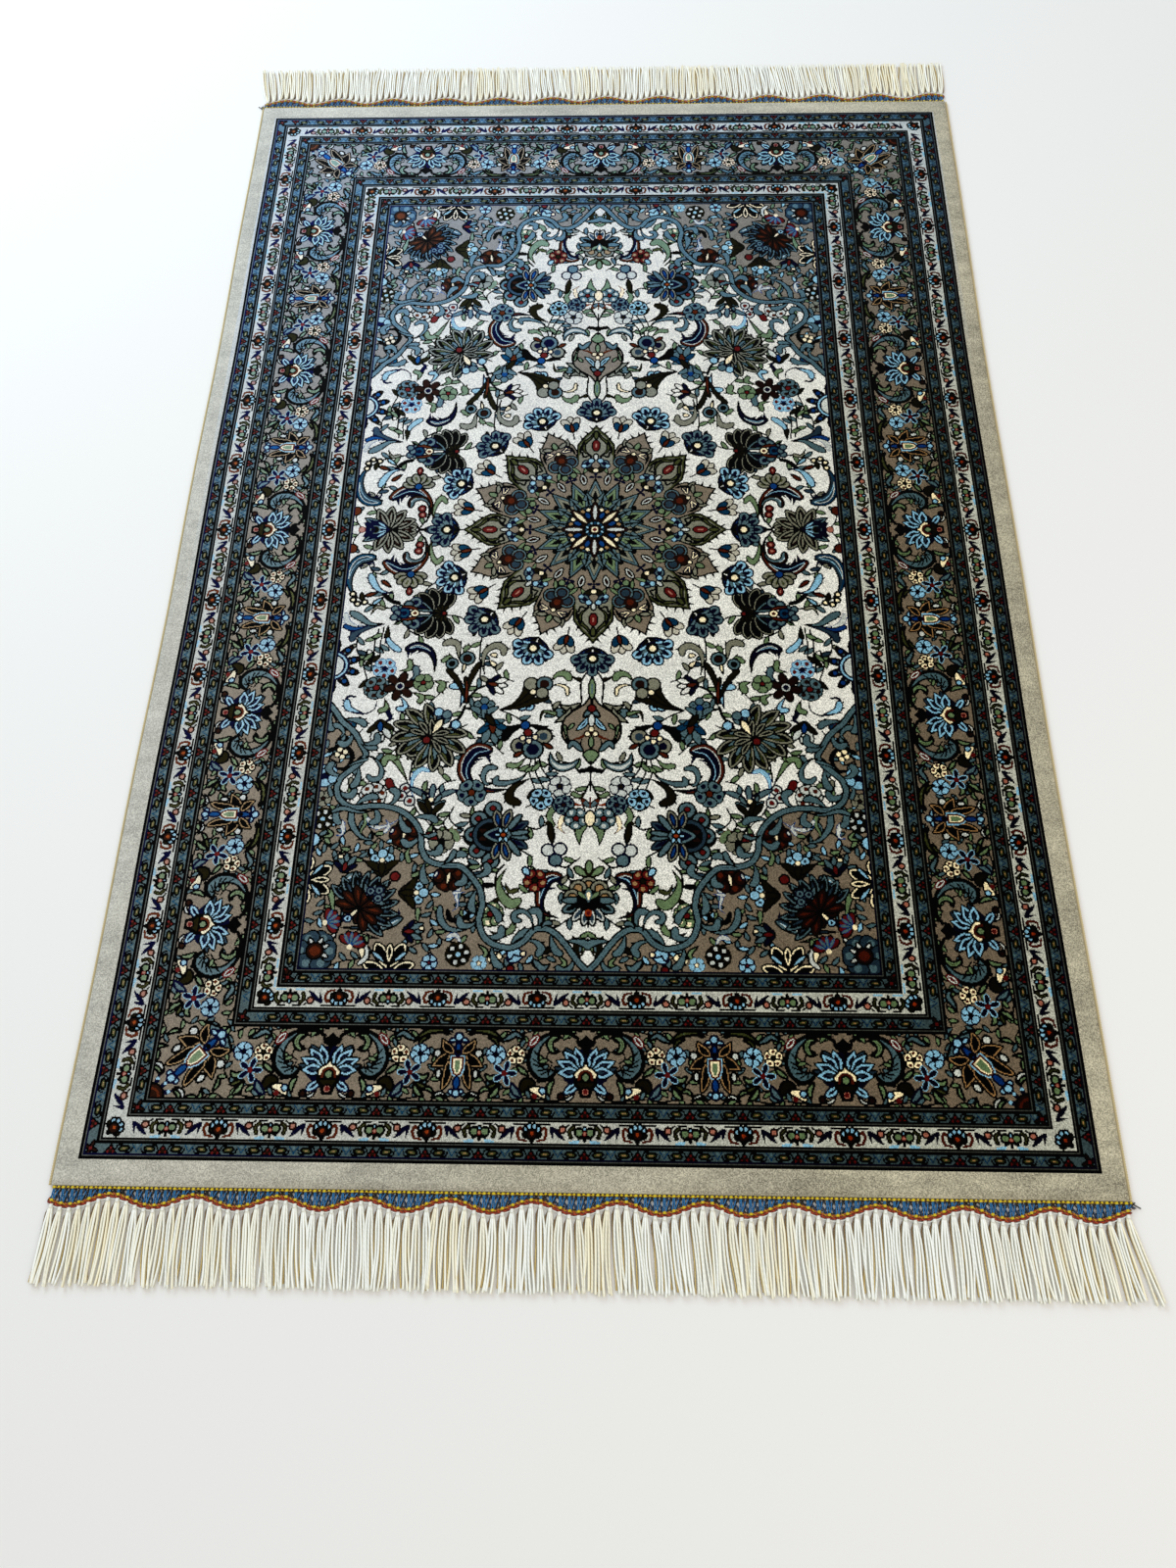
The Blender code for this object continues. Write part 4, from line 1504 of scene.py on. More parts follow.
# ---------------------------------------------------------------- node trees
class Nodes:
    """Adds nodes to a tree and joins them."""

    def __init__(self, tree):
        self.tree = tree

    def add(self, kind, inputs=(), **settings):
        """A node, its settings, and what feeds its inputs: sockets or plain values by index or name."""
        node = self.tree.nodes.new(kind)
        for name, value in settings.items():
            setattr(node, name, value)
        pairs = inputs.items() if isinstance(inputs, dict) else enumerate(inputs)
        for key, value in pairs:
            if isinstance(value, bpy.types.NodeSocket):
                self.tree.links.new(value, node.inputs[key])
            elif value is not None:
                node.inputs[key].default_value = value
        return node

    def math(self, operation, *inputs):
        """A number from numbers."""
        return self.add("ShaderNodeMath", inputs, operation=operation).outputs[0]

    def plus(self, first, second):
        """The sum of two numbers."""
        return self.math("ADD", first, second)

    def minus(self, first, second):
        """The difference of two numbers."""
        return self.math("SUBTRACT", first, second)

    def times(self, first, second):
        """The product of two numbers."""
        return self.math("MULTIPLY", first, second)

    def over(self, first, second):
        """The first number divided by the second."""
        return self.math("DIVIDE", first, second)

    def vector(self, operation, *inputs):
        """A vector, or the number that a dot product gives, from vectors."""
        node = self.add("ShaderNodeVectorMath", inputs, operation=operation)
        return node.outputs["Value" if operation == "DOT_PRODUCT" else "Vector"]

    def scale(self, vector, factor):
        """A vector or colour times a number."""
        return self.add("ShaderNodeVectorMath", {0: vector, "Scale": factor}, operation="SCALE").outputs[0]

    def attribute(self, name, output="Fac"):
        """What the mesh stores under a name."""
        return self.add("ShaderNodeAttribute", attribute_name=name).outputs[output]

    def split(self, vector):
        """The x, y and z of a vector."""
        return self.add("ShaderNodeSeparateXYZ", [vector]).outputs

    def object_place(self):
        """The place on the object, in metres."""
        return self.add("ShaderNodeTexCoord").outputs["Object"]

    def mix(self, share, first, second, blend="MIX"):
        """Two colours blended."""
        node = self.add("ShaderNodeMix", {0: share, 6: first, 7: second}, data_type="RGBA", blend_type=blend)
        return node.outputs[2]

    def ranged(self, value, low, high):
        """A value from 0 to 1, spread from low to high."""
        return self.add("ShaderNodeMapRange", (value, 0.0, 1.0, low, high)).outputs[0]

    def noise(self, vector, scale, detail=2.0):
        """Smooth noise from 0 to 1."""
        return self.add("ShaderNodeTexNoise", {"Vector": vector, "Scale": scale, "Detail": detail}).outputs[0]


def new_group(name, kind, inputs, outputs):
    """A node group with named inputs and outputs: (name, socket type, default)."""
    group = bpy.data.node_groups.new(name, kind)
    for title, socket, default in inputs:
        made = group.interface.new_socket(title, in_out="INPUT", socket_type=socket)
        if default is not None:
            made.default_value = default
    for title, socket in outputs:
        group.interface.new_socket(title, in_out="OUTPUT", socket_type=socket)
    nodes = Nodes(group)
    return group, nodes, nodes.add("NodeGroupInput").outputs


def linear(colour):
    """A colour as shown on screen, as light."""
    c = np.asarray(colour, float)
    return tuple(np.where(c <= 0.04045, c / 12.92, ((c + 0.055) / 1.055) ** 2.4).tolist())


# Painted shade: the pile's colour is made warmer and darker towards the near right.
PAINTED_WARM_SHADE = (1.11, 1.04, 0.89, 1.0)
PAINTED_SHADE_GAMMA = 0.62  # painted shade: the darker dyes are darkened more than the pale ones
# Painted sheen: a cool haze added to the pile's colour towards the far left.
PAINTED_SHEEN = (0.24, 0.76, 1.60)
MARGIN_ACROSS = 0.477  # the plain margins start this far from the middle, across
MARGIN_ALONG = 0.728  # and along


def knotted_design_group(dyes):
    """Reads a face's packed dyes back, and gives each knot its colour, its own tone and its shape, with
    painted shade towards the near right and a painted cool sheen towards the far left.
    """
    group, n, given = new_group(
        "Knotted Design",
        "ShaderNodeTree",
        [("Knot Tones", "NodeSocketFloat", 0.10), ("Abrash", "NodeSocketFloat", 0.06)],
        [("Color", "NodeSocketColor"), ("Knot", "NodeSocketFloat"), ("Tone", "NodeSocketFloat")],
    )
    where = n.split(n.add("ShaderNodeUVMap", uv_map="Knots").outputs[0])
    across, along = FACE_KNOTS
    i = n.math("MINIMUM", n.math("FLOOR", where[0]), across - 1)
    j = n.math("MINIMUM", n.math("FLOOR", where[1]), along - 1)
    pair = n.math("FLOOR", n.over(n.plus(j, 0.5), 2.0))
    place = n.plus(i, n.times(n.minus(j, n.times(pair, 2.0)), across))
    third = n.math("FLOOR", n.over(n.plus(place, 0.5), 4.0))
    digit = n.minus(place, n.times(third, 4.0))
    picks = [n.math("COMPARE", third, float(k), 0.1) for k in range(3)]
    mask = n.add("ShaderNodeCombineXYZ", picks).outputs[0]
    number = 0.0
    for k in range(4):
        stored = n.attribute(f"Dyes {k}", "Vector")
        mine = n.times(n.vector("DOT_PRODUCT", stored, mask), n.math("COMPARE", pair, float(k), 0.1))
        number = n.plus(mine, number)
    shifted = n.over(n.plus(number, 0.5), n.math("POWER", float(DYE_BASE), digit))
    dye = n.math("MODULO", n.math("FLOOR", shifted), float(DYE_BASE))
    ramp = n.add("ShaderNodeValToRGB", [n.over(n.plus(dye, 0.5), float(DYE_BASE))])
    bar = ramp.color_ramp
    bar.interpolation = "CONSTANT"
    for number, colour in enumerate(dyes):
        stop = bar.elements[0] if number == 0 else bar.elements.new(number / DYE_BASE)
        stop.position = number / DYE_BASE
        stop.color = (*linear(colour), 1.0)
    bar.elements.remove(bar.elements[-1])
    first = n.attribute("Face Place", "Vector")
    knot = n.vector("ADD", first, n.add("ShaderNodeCombineXYZ", [i, j]).outputs[0])
    tone = n.add("ShaderNodeTexWhiteNoise", {"Vector": knot}, noise_dimensions="3D").outputs["Value"]
    own = n.object_place()
    stretched = n.vector("MULTIPLY", own, (0.35, 1.0, 0.0))
    bands = n.noise(stretched, 26.0, 3.0)
    patches = n.noise(own, 4.0, 2.0)
    worn = n.plus(n.plus(bands, patches), n.noise(stretched, 75.0, 4.0))
    margin = on_margin(n, own)
    swing = n.times(n.minus(worn, 1.5), given["Abrash"])
    swing = n.times(swing, n.ranged(margin, 0.45, 1.0))
    clumps = n.times(n.minus(n.noise(own, 950.0, 3.0), 0.5), 1.15)
    lift = n.times(n.plus(n.minus(tone, 0.5), clumps), given["Knot Tones"])
    shade = n.plus(n.plus(swing, lift), 1.0)
    colour = n.scale(ramp.outputs[0], shade)
    # painted shade: warmer and darker towards the near right, in patches
    painted_shade = painted_shade_share(n, own, patches)
    shade_gamma = n.plus(n.times(painted_shade, PAINTED_SHADE_GAMMA), 1.0)
    colour = n.add("ShaderNodeGamma", [colour, shade_gamma]).outputs[0]
    colour = n.mix(painted_shade, colour, PAINTED_WARM_SHADE, "MULTIPLY")
    # painted sheen: a cool haze added towards the far left, least on the margins
    gap = n.vector("SUBTRACT", (1.0, 1.0, 1.0), colour)
    painted_sheen = n.vector("MULTIPLY", n.vector("MULTIPLY", n.vector("MULTIPLY", gap, gap), colour), PAINTED_SHEEN)
    share = n.times(painted_sheen_share(n, own), n.ranged(margin, 1.0, 0.1))
    colour = n.mix(share, colour, painted_sheen, "ADD")
    fx = n.minus(n.math("FRACT", where[0]), 0.5)
    fy = n.minus(n.math("FRACT", where[1]), 0.5)
    far = n.plus(n.times(fx, fx), n.times(fy, fy))
    dome = n.minus(1.0, n.times(far, 2.0))
    n.add("NodeGroupOutput", [colour, dome, tone])
    return group


def on_margin(n, own):
    """1 on the plain margins, which show wear most and the painted sheen least, and 0 inside them."""
    across, along, _ = n.split(n.vector("ABSOLUTE", own))
    beside = n.math("GREATER_THAN", across, MARGIN_ACROSS)
    beyond = n.math("GREATER_THAN", along, MARGIN_ALONG)
    return n.math("MAXIMUM", beside, beyond)


def painted_sheen_share(n, own):
    """How far the painted cool sheen reaches, from the middle to the far left."""
    x, y, _ = n.split(own)
    slope = n.minus(n.times(y, 1.5), n.plus(n.times(x, 0.6), 0.05))
    return n.add("ShaderNodeClamp", [slope]).outputs[0]


def painted_shade_share(n, own, patches):
    """How far the painted shade reaches, in place of how the light falls: warmer and darker colour from the
    far left to the near right.
    """
    x, y, _ = n.split(own)
    share = n.plus(n.times(y, -0.33), n.plus(n.times(x, 1.2), 0.48))
    share = n.plus(share, n.times(n.minus(patches, 0.5), 0.5))
    return n.add("ShaderNodeClamp", [share]).outputs[0]


def principled(name, constants):
    """A material whose shader has these constants, and its nodes."""
    material = bpy.data.materials.new(name)
    material.use_nodes = True
    n = Nodes(material.node_tree)
    shader = material.node_tree.nodes["Principled BSDF"]
    for key, value in constants.items():
        shader.inputs[key].default_value = value
    return material, n, shader


def place_group(n, group, **values):
    """A group in a material, with the material's own values."""
    node = n.add("ShaderNodeGroup", node_tree=group)
    for key, value in values.items():
        node.inputs[key.replace("_", " ").title()].default_value = value
    return node.outputs


def knotted_material(name, group, tones, abrash, relief, roughness, constants):
    """Silk knots: the design, with each knot's tip in relief and fine fuzz over it."""
    material, n, shader = principled(name, constants)
    design = place_group(n, group, knot_tones=tones, abrash=abrash)
    own = n.object_place()
    fuzz = n.noise(own, 2600.0, 2.0)
    height = n.plus(n.times(design["Knot"], 0.6), n.plus(design["Tone"], fuzz))
    bump = n.add("ShaderNodeBump", {"Strength": 0.55, "Distance": relief, "Height": height})
    n.tree.links.new(design["Color"], shader.inputs["Base Color"])
    n.tree.links.new(bump.outputs[0], shader.inputs["Normal"])
    n.tree.links.new(n.ranged(fuzz, *roughness), shader.inputs["Roughness"])
    return material


# ---------------------------------------------------------------- threads
class Skein:
    """Thread paths gathered for one piece. Each has a width, a turn and a tint, which may change along it."""

    def __init__(self):
        self.paths, self.widths, self.phases, self.tints = [], [], [], []

    def lay(self, path, width=1.0, phase=0.0, tint=(1.0, 1.0, 1.0)):
        """Adds a path."""
        count = len(path)
        colours = np.ones((count, 4))
        colours[:, :3] = linear(tint)
        self.paths.append(np.asarray(path, float))
        self.widths.append(np.broadcast_to(width, count))
        self.phases.append(np.full(count, phase))
        self.tints.append(colours)

    def spin(self, name, tree, material, ply_width, ply_offset, twist, spacing, sides=6):
        """The piece's plain mesh, made by the thread tree from the paths."""
        ends = np.cumsum([len(path) for path in self.paths])
        edges = np.stack([np.arange(ends[-1] - 1), np.arange(1, ends[-1])], 1)
        edges = np.delete(edges, ends[:-1] - 1, axis=0)
        mesh = bpy.data.meshes.new(f"{name} paths")
        mesh.from_pydata(np.vstack(self.paths).tolist(), edges.tolist(), [])
        store(mesh, "Width", "FLOAT", "POINT", np.concatenate(self.widths))
        store(mesh, "Phase", "FLOAT", "POINT", np.concatenate(self.phases))
        store(mesh, "Tint", "FLOAT_COLOR", "POINT", np.vstack(self.tints))
        guide = new_object(f"{name} guide", mesh)
        sizes = {"Ply Width": ply_width, "Ply Offset": ply_offset, "Twist Length": twist, "Spacing": spacing}
        sizes |= {"Sides": sides, "Material": material}
        return grown(name, guide, tree, sizes)


def grown(name, guide, tree, sizes):
    """The guide's Geometry Nodes result as a plain mesh. The guide is removed."""
    modifier = guide.modifiers.new(tree.name, "NODES")
    modifier.node_group = tree
    sockets = {item.name: item.identifier for item in tree.interface.items_tree if item.in_out == "INPUT"}
    for key, value in sizes.items():
        modifier[sockets[key]] = value
    graph = bpy.context.evaluated_depsgraph_get()
    shown = guide.evaluated_get(graph)
    mesh = bpy.data.meshes.new_from_object(shown, preserve_all_data_layers=True, depsgraph=graph)
    mesh.name = name
    guide.modifiers.clear()
    bpy.data.objects.remove(guide)
    return new_object(name, mesh)


def thread_tree():
    """Round plies twisted about each path."""
    group, n, given = new_group(
        "Plied Thread",
        "GeometryNodeTree",
        [
            ("Paths", "NodeSocketGeometry", None),
            ("Ply Width", "NodeSocketFloat", 0.001),
            ("Ply Offset", "NodeSocketFloat", 0.0005),
            ("Twist Length", "NodeSocketFloat", 0.005),
            ("Spacing", "NodeSocketFloat", 0.001),
            ("Plies", "NodeSocketInt", 1),
            ("Sides", "NodeSocketInt", 6),
            ("Material", "NodeSocketMaterial", None),
        ],
        [("Threads", "NodeSocketGeometry")],
    )

    def named(name):
        """A number that the paths store."""
        return n.add("GeometryNodeInputNamedAttribute", {"Name": name}, data_type="FLOAT").outputs[0]

    line = n.add("GeometryNodeMeshToCurve", [given["Paths"]]).outputs[0]
    line = n.add("GeometryNodeCurveSplineType", [line], spline_type="CATMULL_ROM").outputs[0]
    spaced = {"Curve": line, "Length": given["Spacing"]}
    line = n.add("GeometryNodeResampleCurve", spaced, mode="LENGTH").outputs[0]
    line = n.add("GeometryNodeSetCurveNormal", {"Curve": line}, mode="Z_UP").outputs[0]
    line = store_node(n, line, "Along", n.add("GeometryNodeSplineParameter").outputs["Length"])
    amount = {"Geometry": line, "Amount": given["Plies"]}
    copies = n.add("GeometryNodeDuplicateElements", amount, domain="SPLINE")
    share = n.over(copies.outputs[1], given["Plies"])
    turns = n.plus(n.over(named("Along"), given["Twist Length"]), share)
    angle = n.plus(n.times(turns, 2 * math.pi), named("Phase"))
    normal = n.add("GeometryNodeInputNormal").outputs[0]
    side = n.vector("CROSS_PRODUCT", n.add("GeometryNodeInputTangent").outputs[0], normal)
    turned = n.vector("ADD", n.scale(normal, n.math("COSINE", angle)), n.scale(side, n.math("SINE", angle)))
    aside = n.scale(turned, n.times(given["Ply Offset"], named("Width")))
    moved = n.add("GeometryNodeSetPosition", {"Geometry": copies.outputs[0], "Offset": aside}).outputs[0]
    radius = n.times(given["Ply Width"], 0.5)
    circle = {"Resolution": given["Sides"], "Radius": radius}
    ring = n.add("GeometryNodeCurvePrimitiveCircle", circle).outputs[0]
    ring = store_node(n, ring, "Around", n.add("GeometryNodeSplineParameter").outputs["Factor"])
    swept = {"Curve": moved, "Profile Curve": ring, "Scale": named("Width"), "Fill Caps": True}
    mesh = n.add("GeometryNodeCurveToMesh", swept).outputs[0]
    upright = n.split(n.add("GeometryNodeInputNormal").outputs[0])[2]
    mesh = n.add("GeometryNodeSetShadeSmooth", [store_node(n, mesh, "Up", upright)]).outputs[0]
    mesh = n.add("GeometryNodeRealizeInstances", [mesh]).outputs[0]
    mesh = n.add("GeometryNodeSetMaterial", {"Geometry": mesh, "Material": given["Material"]}).outputs[0]
    n.add("NodeGroupOutput", [mesh])
    return group


def store_node(n, geometry, name, value):
    """The geometry with a number stored at each point."""
    inputs = {"Geometry": geometry, "Name": name, "Value": value}
    node = n.add("GeometryNodeStoreNamedAttribute", inputs, data_type="FLOAT", domain="POINT")
    return node.outputs[0]


def filament_group():
    """Fine fibres that slant round a thread."""
    group, n, given = new_group(
        "Silk Filament",
        "ShaderNodeTree",
        [("Fibres", "NodeSocketFloat", 6.0), ("Slant", "NodeSocketFloat", 400.0)],
        [("Height", "NodeSocketFloat"), ("Shade", "NodeSocketFloat")],
    )
    around = n.times(n.attribute("Around"), given["Fibres"])
    turn = n.plus(around, n.times(n.attribute("Along"), given["Slant"]))
    wave = n.plus(n.times(n.math("SINE", n.times(turn, 2 * math.pi)), 0.5), 0.5)
    n.add("NodeGroupOutput", [wave, n.noise(n.object_place(), 420.0, 3.0)])
    return group


def thread_material(name, filament, slant, fibres, contrast, side_shade, constants):
    """Silk thread: the path's tint, with slanting fibres, small changes of tone, and painted shade in the
    fibres' grooves and on the thread's sides.
    """
    material, n, shader = principled(name, constants)
    fibre = place_group(n, filament, slant=slant, fibres=fibres)
    # painted shade: the fibres' grooves darken the tint, mixed with small random changes of tone
    tone = n.plus(n.times(fibre["Height"], 0.6), n.times(fibre["Shade"], 0.4))
    shaded = n.scale(n.attribute("Tint", "Color"), n.ranged(tone, 1 - contrast, 1.0))
    # painted shade: the sides and underside of each thread are darkened towards side_shade, and the top keeps
    # its tint
    deep = n.mix(1.0, shaded, (*side_shade, 1.0), "MULTIPLY")
    colour = n.mix(n.math("POWER", n.math("MAXIMUM", n.attribute("Up"), 0.0), 1.6), deep, shaded)
    bump = n.add("ShaderNodeBump", {"Strength": 0.6, "Distance": 0.00015, "Height": fibre["Height"]})
    n.tree.links.new(colour, shader.inputs["Base Color"])
    n.tree.links.new(bump.outputs[0], shader.inputs["Normal"])
    n.tree.links.new(n.ranged(fibre["Shade"], 0.30, 0.50), shader.inputs["Roughness"])
    return material


def finish_piece(piece, slot, *nodes):
    """Gives a piece its body, and the nodes that it takes the place of. Its slot is not used."""
    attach(piece, "root")
    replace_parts(piece, *nodes)


# ---------------------------------------------------------------- side bindings
BINDING_STOPS = 0.0005  # the overcasting stops this far short of the pile's corners


def binding_path(side, height):
    """The middle of the binding along one side."""
    reach = PILE_LENGTH / 2 - BINDING_STOPS
    y = np.linspace(-reach, reach, 300)
    x = side * (half_width(side, y) + GAP + BINDING_DIAMETER / 2)
    return np.stack([x, y, np.full_like(y, height)], 1)


# ---------------------------------------------------------------- lace ends
TASSEL_PITCH = SCALLOP_PITCH / TASSELS_PER_SCALLOP
TASSEL_COUNT = int((PILE_WIDTH - HEAD_WIDTH) / TASSEL_PITCH) + 1
TASSEL_XS = (np.arange(TASSEL_COUNT) - (TASSEL_COUNT - 1) / 2) * TASSEL_PITCH
GOLD_OUT = GAP + CORD_DIAMETER / 2
MAROON_OUT = 3 * GAP + 1.5 * CORD_DIAMETER
NECK_OUT = 3 * GAP + 2 * CORD_DIAMETER + 0.0016

YELLOW = (1.0, 0.88, 0.08)
GOLD = (0.96, 0.72, 0.08)
ORANGE = (0.88, 0.40, 0.05)
GOLD_BROWN = (0.48, 0.30, 0.08)
LACE_BLUE = (0.13, 0.50, 0.76)
DEEP_BLUE = (0.05, 0.28, 0.48)
LACE_BLACK = (0.05, 0.05, 0.06)
NET = (0.16, 0.15, 0.13)
MAROON_SILK = (0.80, 0.27, 0.06)
DARK_MAROON = (0.58, 0.15, 0.05)
WHITE_SILK = (0.985, 0.995, 1.0)
CREAM_SILK = (1.0, 0.90, 0.62)
# Brown of the painted shade at the roots of the cords behind.
PAINTED_ROOT_SHADE = (0.50, 0.37, 0.22)

# Heights of the lace's threads, from the net behind to the knots in front.
NET_HEIGHT = 0.0009
DEEP_HEIGHT = 0.0014
SLANT_HEIGHT = 0.0018
LACING_HEIGHT = 0.0021
STITCH_HEIGHT = 0.0022
EDGE_STITCH_HEIGHT = 0.0023
KNOT_HEIGHT = 0.0026
NET_STRANDS = (  # from, to, in pitches
    (0.0, 1.0),
    (1.0, 0.0),
    (0.5, 1.5),
    (0.5, -0.5),
    (0.25, 0.75),
    (0.75, 0.25),
)
STITCHES = (  # along from a tassel, lean, colour
    (0.0022, 0.0010, LACE_BLACK),
    (0.0036, -0.0010, GOLD_BROWN),
    (0.0050, 0.0010, LACE_BLACK),
    (0.0064, -0.0010, LACE_BLACK),
)


def wrap(end, x, out, z, radius, turns, length):
    """Turns of thread round a core that runs outwards."""
    share = np.linspace(0, 1, int(8 * turns) + 1)
    angle = 2 * np.pi * turns * share
    across, up = radius * np.cos(angle), 0.8 * radius * np.sin(angle)
    return at_end(end, x + across, out + length * (share - 0.5), z + up)


def scallop_path(end, distance, z):
    """A route along the scallops, from one side of the end to the other."""
    route = scallop_line(np.linspace(-1, 1, 700) * (PILE_WIDTH / 2), distance)
    return at_end(end, route[:, 0], route[:, 1], z)


def pile_seam(end, out, z):
    """A straight route along the pile's end."""
    return at_end(end, np.linspace(-1, 1, 400) * (PILE_WIDTH / 2 - 0.001), out, z)


def thread_between(end, first, second, z, sag):
    """A thread from one (x, depth) to another, lifted in its middle."""
    run = np.linspace(0, 1, 5)
    x, out = (a + (b - a) * run for a, b in zip(first, second))
    return at_end(end, x, out, z + sag * np.sin(np.pi * run))


def lace_skeins(end, rng):
    """Yellow knots in two rows; blue threads, a dark net behind them and stitches along the pile."""
    knots, threads = Skein(), Skein()
    middle = TASSEL_PITCH / 2

    def knot(x, out, lift, radius, turns, length, width):
        """A yellow knot round a core."""
        path = wrap(end, x, out, KNOT_HEIGHT + lift, radius, turns, length)
        knots.lay(path, width, tint=YELLOW)

    def thread(first, second, height, sag, width, tint):
        """One strand of the lace."""
        threads.lay(thread_between(end, first, second, height, sag), width, 0.0, tint)

    for x in TASSEL_XS:
        foot = float(scallop(x)) + 0.0009
        after = float(scallop(x + TASSEL_PITCH)) + 0.0005
        deep = np.clip((foot - 0.006) / 0.009, 0, 1)  # 0 between the scallops, 1 at their tips
        slant = rng.uniform(-0.0004, 0.0014) * deep
        knot(x, 0.0013, 0, 0.0011, 2.5, 0.0014, 1.2)
        knot(x + middle, 0.0011, -0.0002, 0.0009, 2, 0.0012, 1.1)
        knot(x + slant, foot, 0.0001, 0.0011, 2.5, 0.0014, 1.15)
        for aside in (-0.0007, 0.0007):
            top = (x + 0.6 * aside, 0.0018)
            low = (x + aside * (1 + 0.8 * deep) + slant, foot - 0.0004)
            thread(top, low, LACING_HEIGHT, 0.0005, 1.12, LACE_BLUE)
        if deep > 0.15:
            low = (x + TASSEL_PITCH - 0.0012, after)
            thread((x + 0.0012, 0.0020), low, DEEP_HEIGHT, 0.0004, 0.9, DEEP_BLUE)
            low = (x + 0.0014 + slant, foot - 0.0010)
            thread((x + middle, 0.3 * foot), low, SLANT_HEIGHT, 0.0004, 1, LACE_BLUE)
        for first, second in NET_STRANDS:
            start = (x + first * TASSEL_PITCH, 0.0006)
            stop = (x + second * TASSEL_PITCH, foot + (after - foot) * min(max(second, 0), 1))
            thread(start, stop, NET_HEIGHT, 0, 1, NET)
        for place, lean, tint in STITCHES:
            thread((x + place, 0.0002), (x + place + lean, 0.0023), STITCH_HEIGHT, 0, 0.75, tint)
        for share in (0.35, 0.65):
            place = x + share * TASSEL_PITCH
            edge = float(scallop(place))
            start, stop = (place - 0.0008, edge + 0.0001), (place + 0.0008, edge + 0.0012)
            thread(start, stop, EDGE_STITCH_HEIGHT, 0, 0.65, GOLD_BROWN)
    return knots, threads


# ---------------------------------------------------------------- fringe
CORDS = ((False, -1.6), (False, 0.45), (True, -1), (True, 1), (True, 0))  # in front or behind, place across
NECK_SPREAD = 0.0008  # cords beside each other stand this far apart in the neck
TIP_SPREAD = 0.0026  # and this far where the tassel has opened
TWISTED_SHARE = 0.55  # of the front cords


def tassel_cords(end, rng):
    """The cords of every tassel: twisted and smooth white ones in front, cream ones behind and between,
    turned brown towards their roots by painted shade.
    """
    twisted, smooth_cords, behind = Skein(), Skein(), Skein()
    share = np.linspace(0, 1, 16) ** 1.3
    for number, x in enumerate(TASSEL_XS):
        neck = float(scallop(x)) + NECK_OUT + 0.0008
        tip = FRINGE_REACH + TIP_UNEVENNESS * math.sin(2.4 * number)
        lean = tassel_lean(x)
        warm = 0.5 + 0.5 * math.sin(31.0 * x + 1.0 + 2.0 * math.sin(9.0 * x))
        sway = rng.uniform(-0.0020, 0.0020)
        bow = rng.uniform(-0.0016, 0.0016)
        for front, place in CORDS:
            last = tip - rng.uniform(0.0, 0.0034) + (0.0012 if front else -0.0015)
            out = neck + (last - neck) * share
            opening = np.clip((out - neck) / (0.016 if front else 0.006), 0, 1) ** 0.7
            height = rng.uniform(0.0003, 0.0024)
            wave = height * np.sin(np.pi * share * rng.uniform(0.8, 1.8) + rng.uniform(0, 6.28)) * share
            fan = 1 + (0.14 + rng.uniform(-0.16, 0.16)) * share
            aside = (NECK_SPREAD + (TIP_SPREAD - NECK_SPREAD) * opening) * place * fan
            aside = x + aside + lean * share**1.2 + (sway + wave) * share + bow * np.sin(np.pi * share)
            lift = (0.0014 if front else 0.0) * np.minimum(3 * opening, 1) * (1 - 0.75 * abs(place) ** 2)
            z = (0.0016 if front else 0.0009) + lift * (1 - 0.3 * share) + rng.uniform(-0.0002, 0.0003)
            width = rng.uniform(0.92, 1.06) * (1.0 if front else 0.72) * (1 + 0.12 * (share > 0.95))
            creamy = warm * rng.uniform(0.0, 0.5) if front else 1.0
            tint = np.array(WHITE_SILK) * (1 - creamy) + np.array(CREAM_SILK) * creamy
            # painted shade: the cords behind turn brown towards their roots, between the tassels' shoulders
            if not front:
                shown = np.clip(share / 0.55, 0, 1)[:, None]
                tint = tint * shown + np.array(PAINTED_ROOT_SHADE) * (1 - shown)
            skein = behind
            if front:
                skein = twisted if rng.random() < TWISTED_SHARE else smooth_cords
            skein.lay(at_end(end, aside, out, z), width, rng.uniform(0, 6.28), tint)
    return twisted, smooth_cords, behind


def neck_skein(end, rng):
    """The wrapped necks of the tassels and the fine cord that links them."""
    skein = Skein()
    for x in TASSEL_XS:
        out = float(scallop(x)) + NECK_OUT
        phase = rng.uniform(0, 6.28)
        skein.lay(wrap(end, x, out, 0.0024, 0.0014, 3.5, 0.0026), 1.25, phase, WHITE_SILK)
    x = np.linspace(TASSEL_XS[0] - 0.002, TASSEL_XS[-1] + 0.002, 4 * TASSEL_COUNT)
    pitches = (x - TASSEL_XS[0]) / TASSEL_PITCH
    swag = 0.0010 * np.abs(pitches - np.round(pitches)) - 0.0006
    skein.lay(at_end(end, x, scallop(x) + NECK_OUT + swag, 0.0017), 0.9, 0.0, WHITE_SILK)
    return skein




# ---------------------------------------------------------------- settings
def colour_of(name, default, description):
    """A colour setting."""
    return FloatVectorProperty(
        name=name, description=description, subtype="COLOR_GAMMA", min=0, max=1, default=default
    )


def length_of(name, default, description):
    """A length setting."""
    return FloatProperty(
        name=name, description=description, unit="LENGTH", min=0, default=default, precision=4
    )


def amount_of(name, default, description):
    """A plain number setting."""
    return FloatProperty(name=name, description=description, min=0, default=default)


def power_of(name, default, description):
    """A setting for a light's power."""
    return FloatProperty(name=name, description=description, unit="POWER", min=0, default=default)


class DyeSettings(bpy.types.PropertyGroup):
    """The dyes of the knots."""

    __annotations__ = {
        name: colour_of(name.title(), colour, f"Colour of the {name} silk") for name, colour in DYES.items()
    }


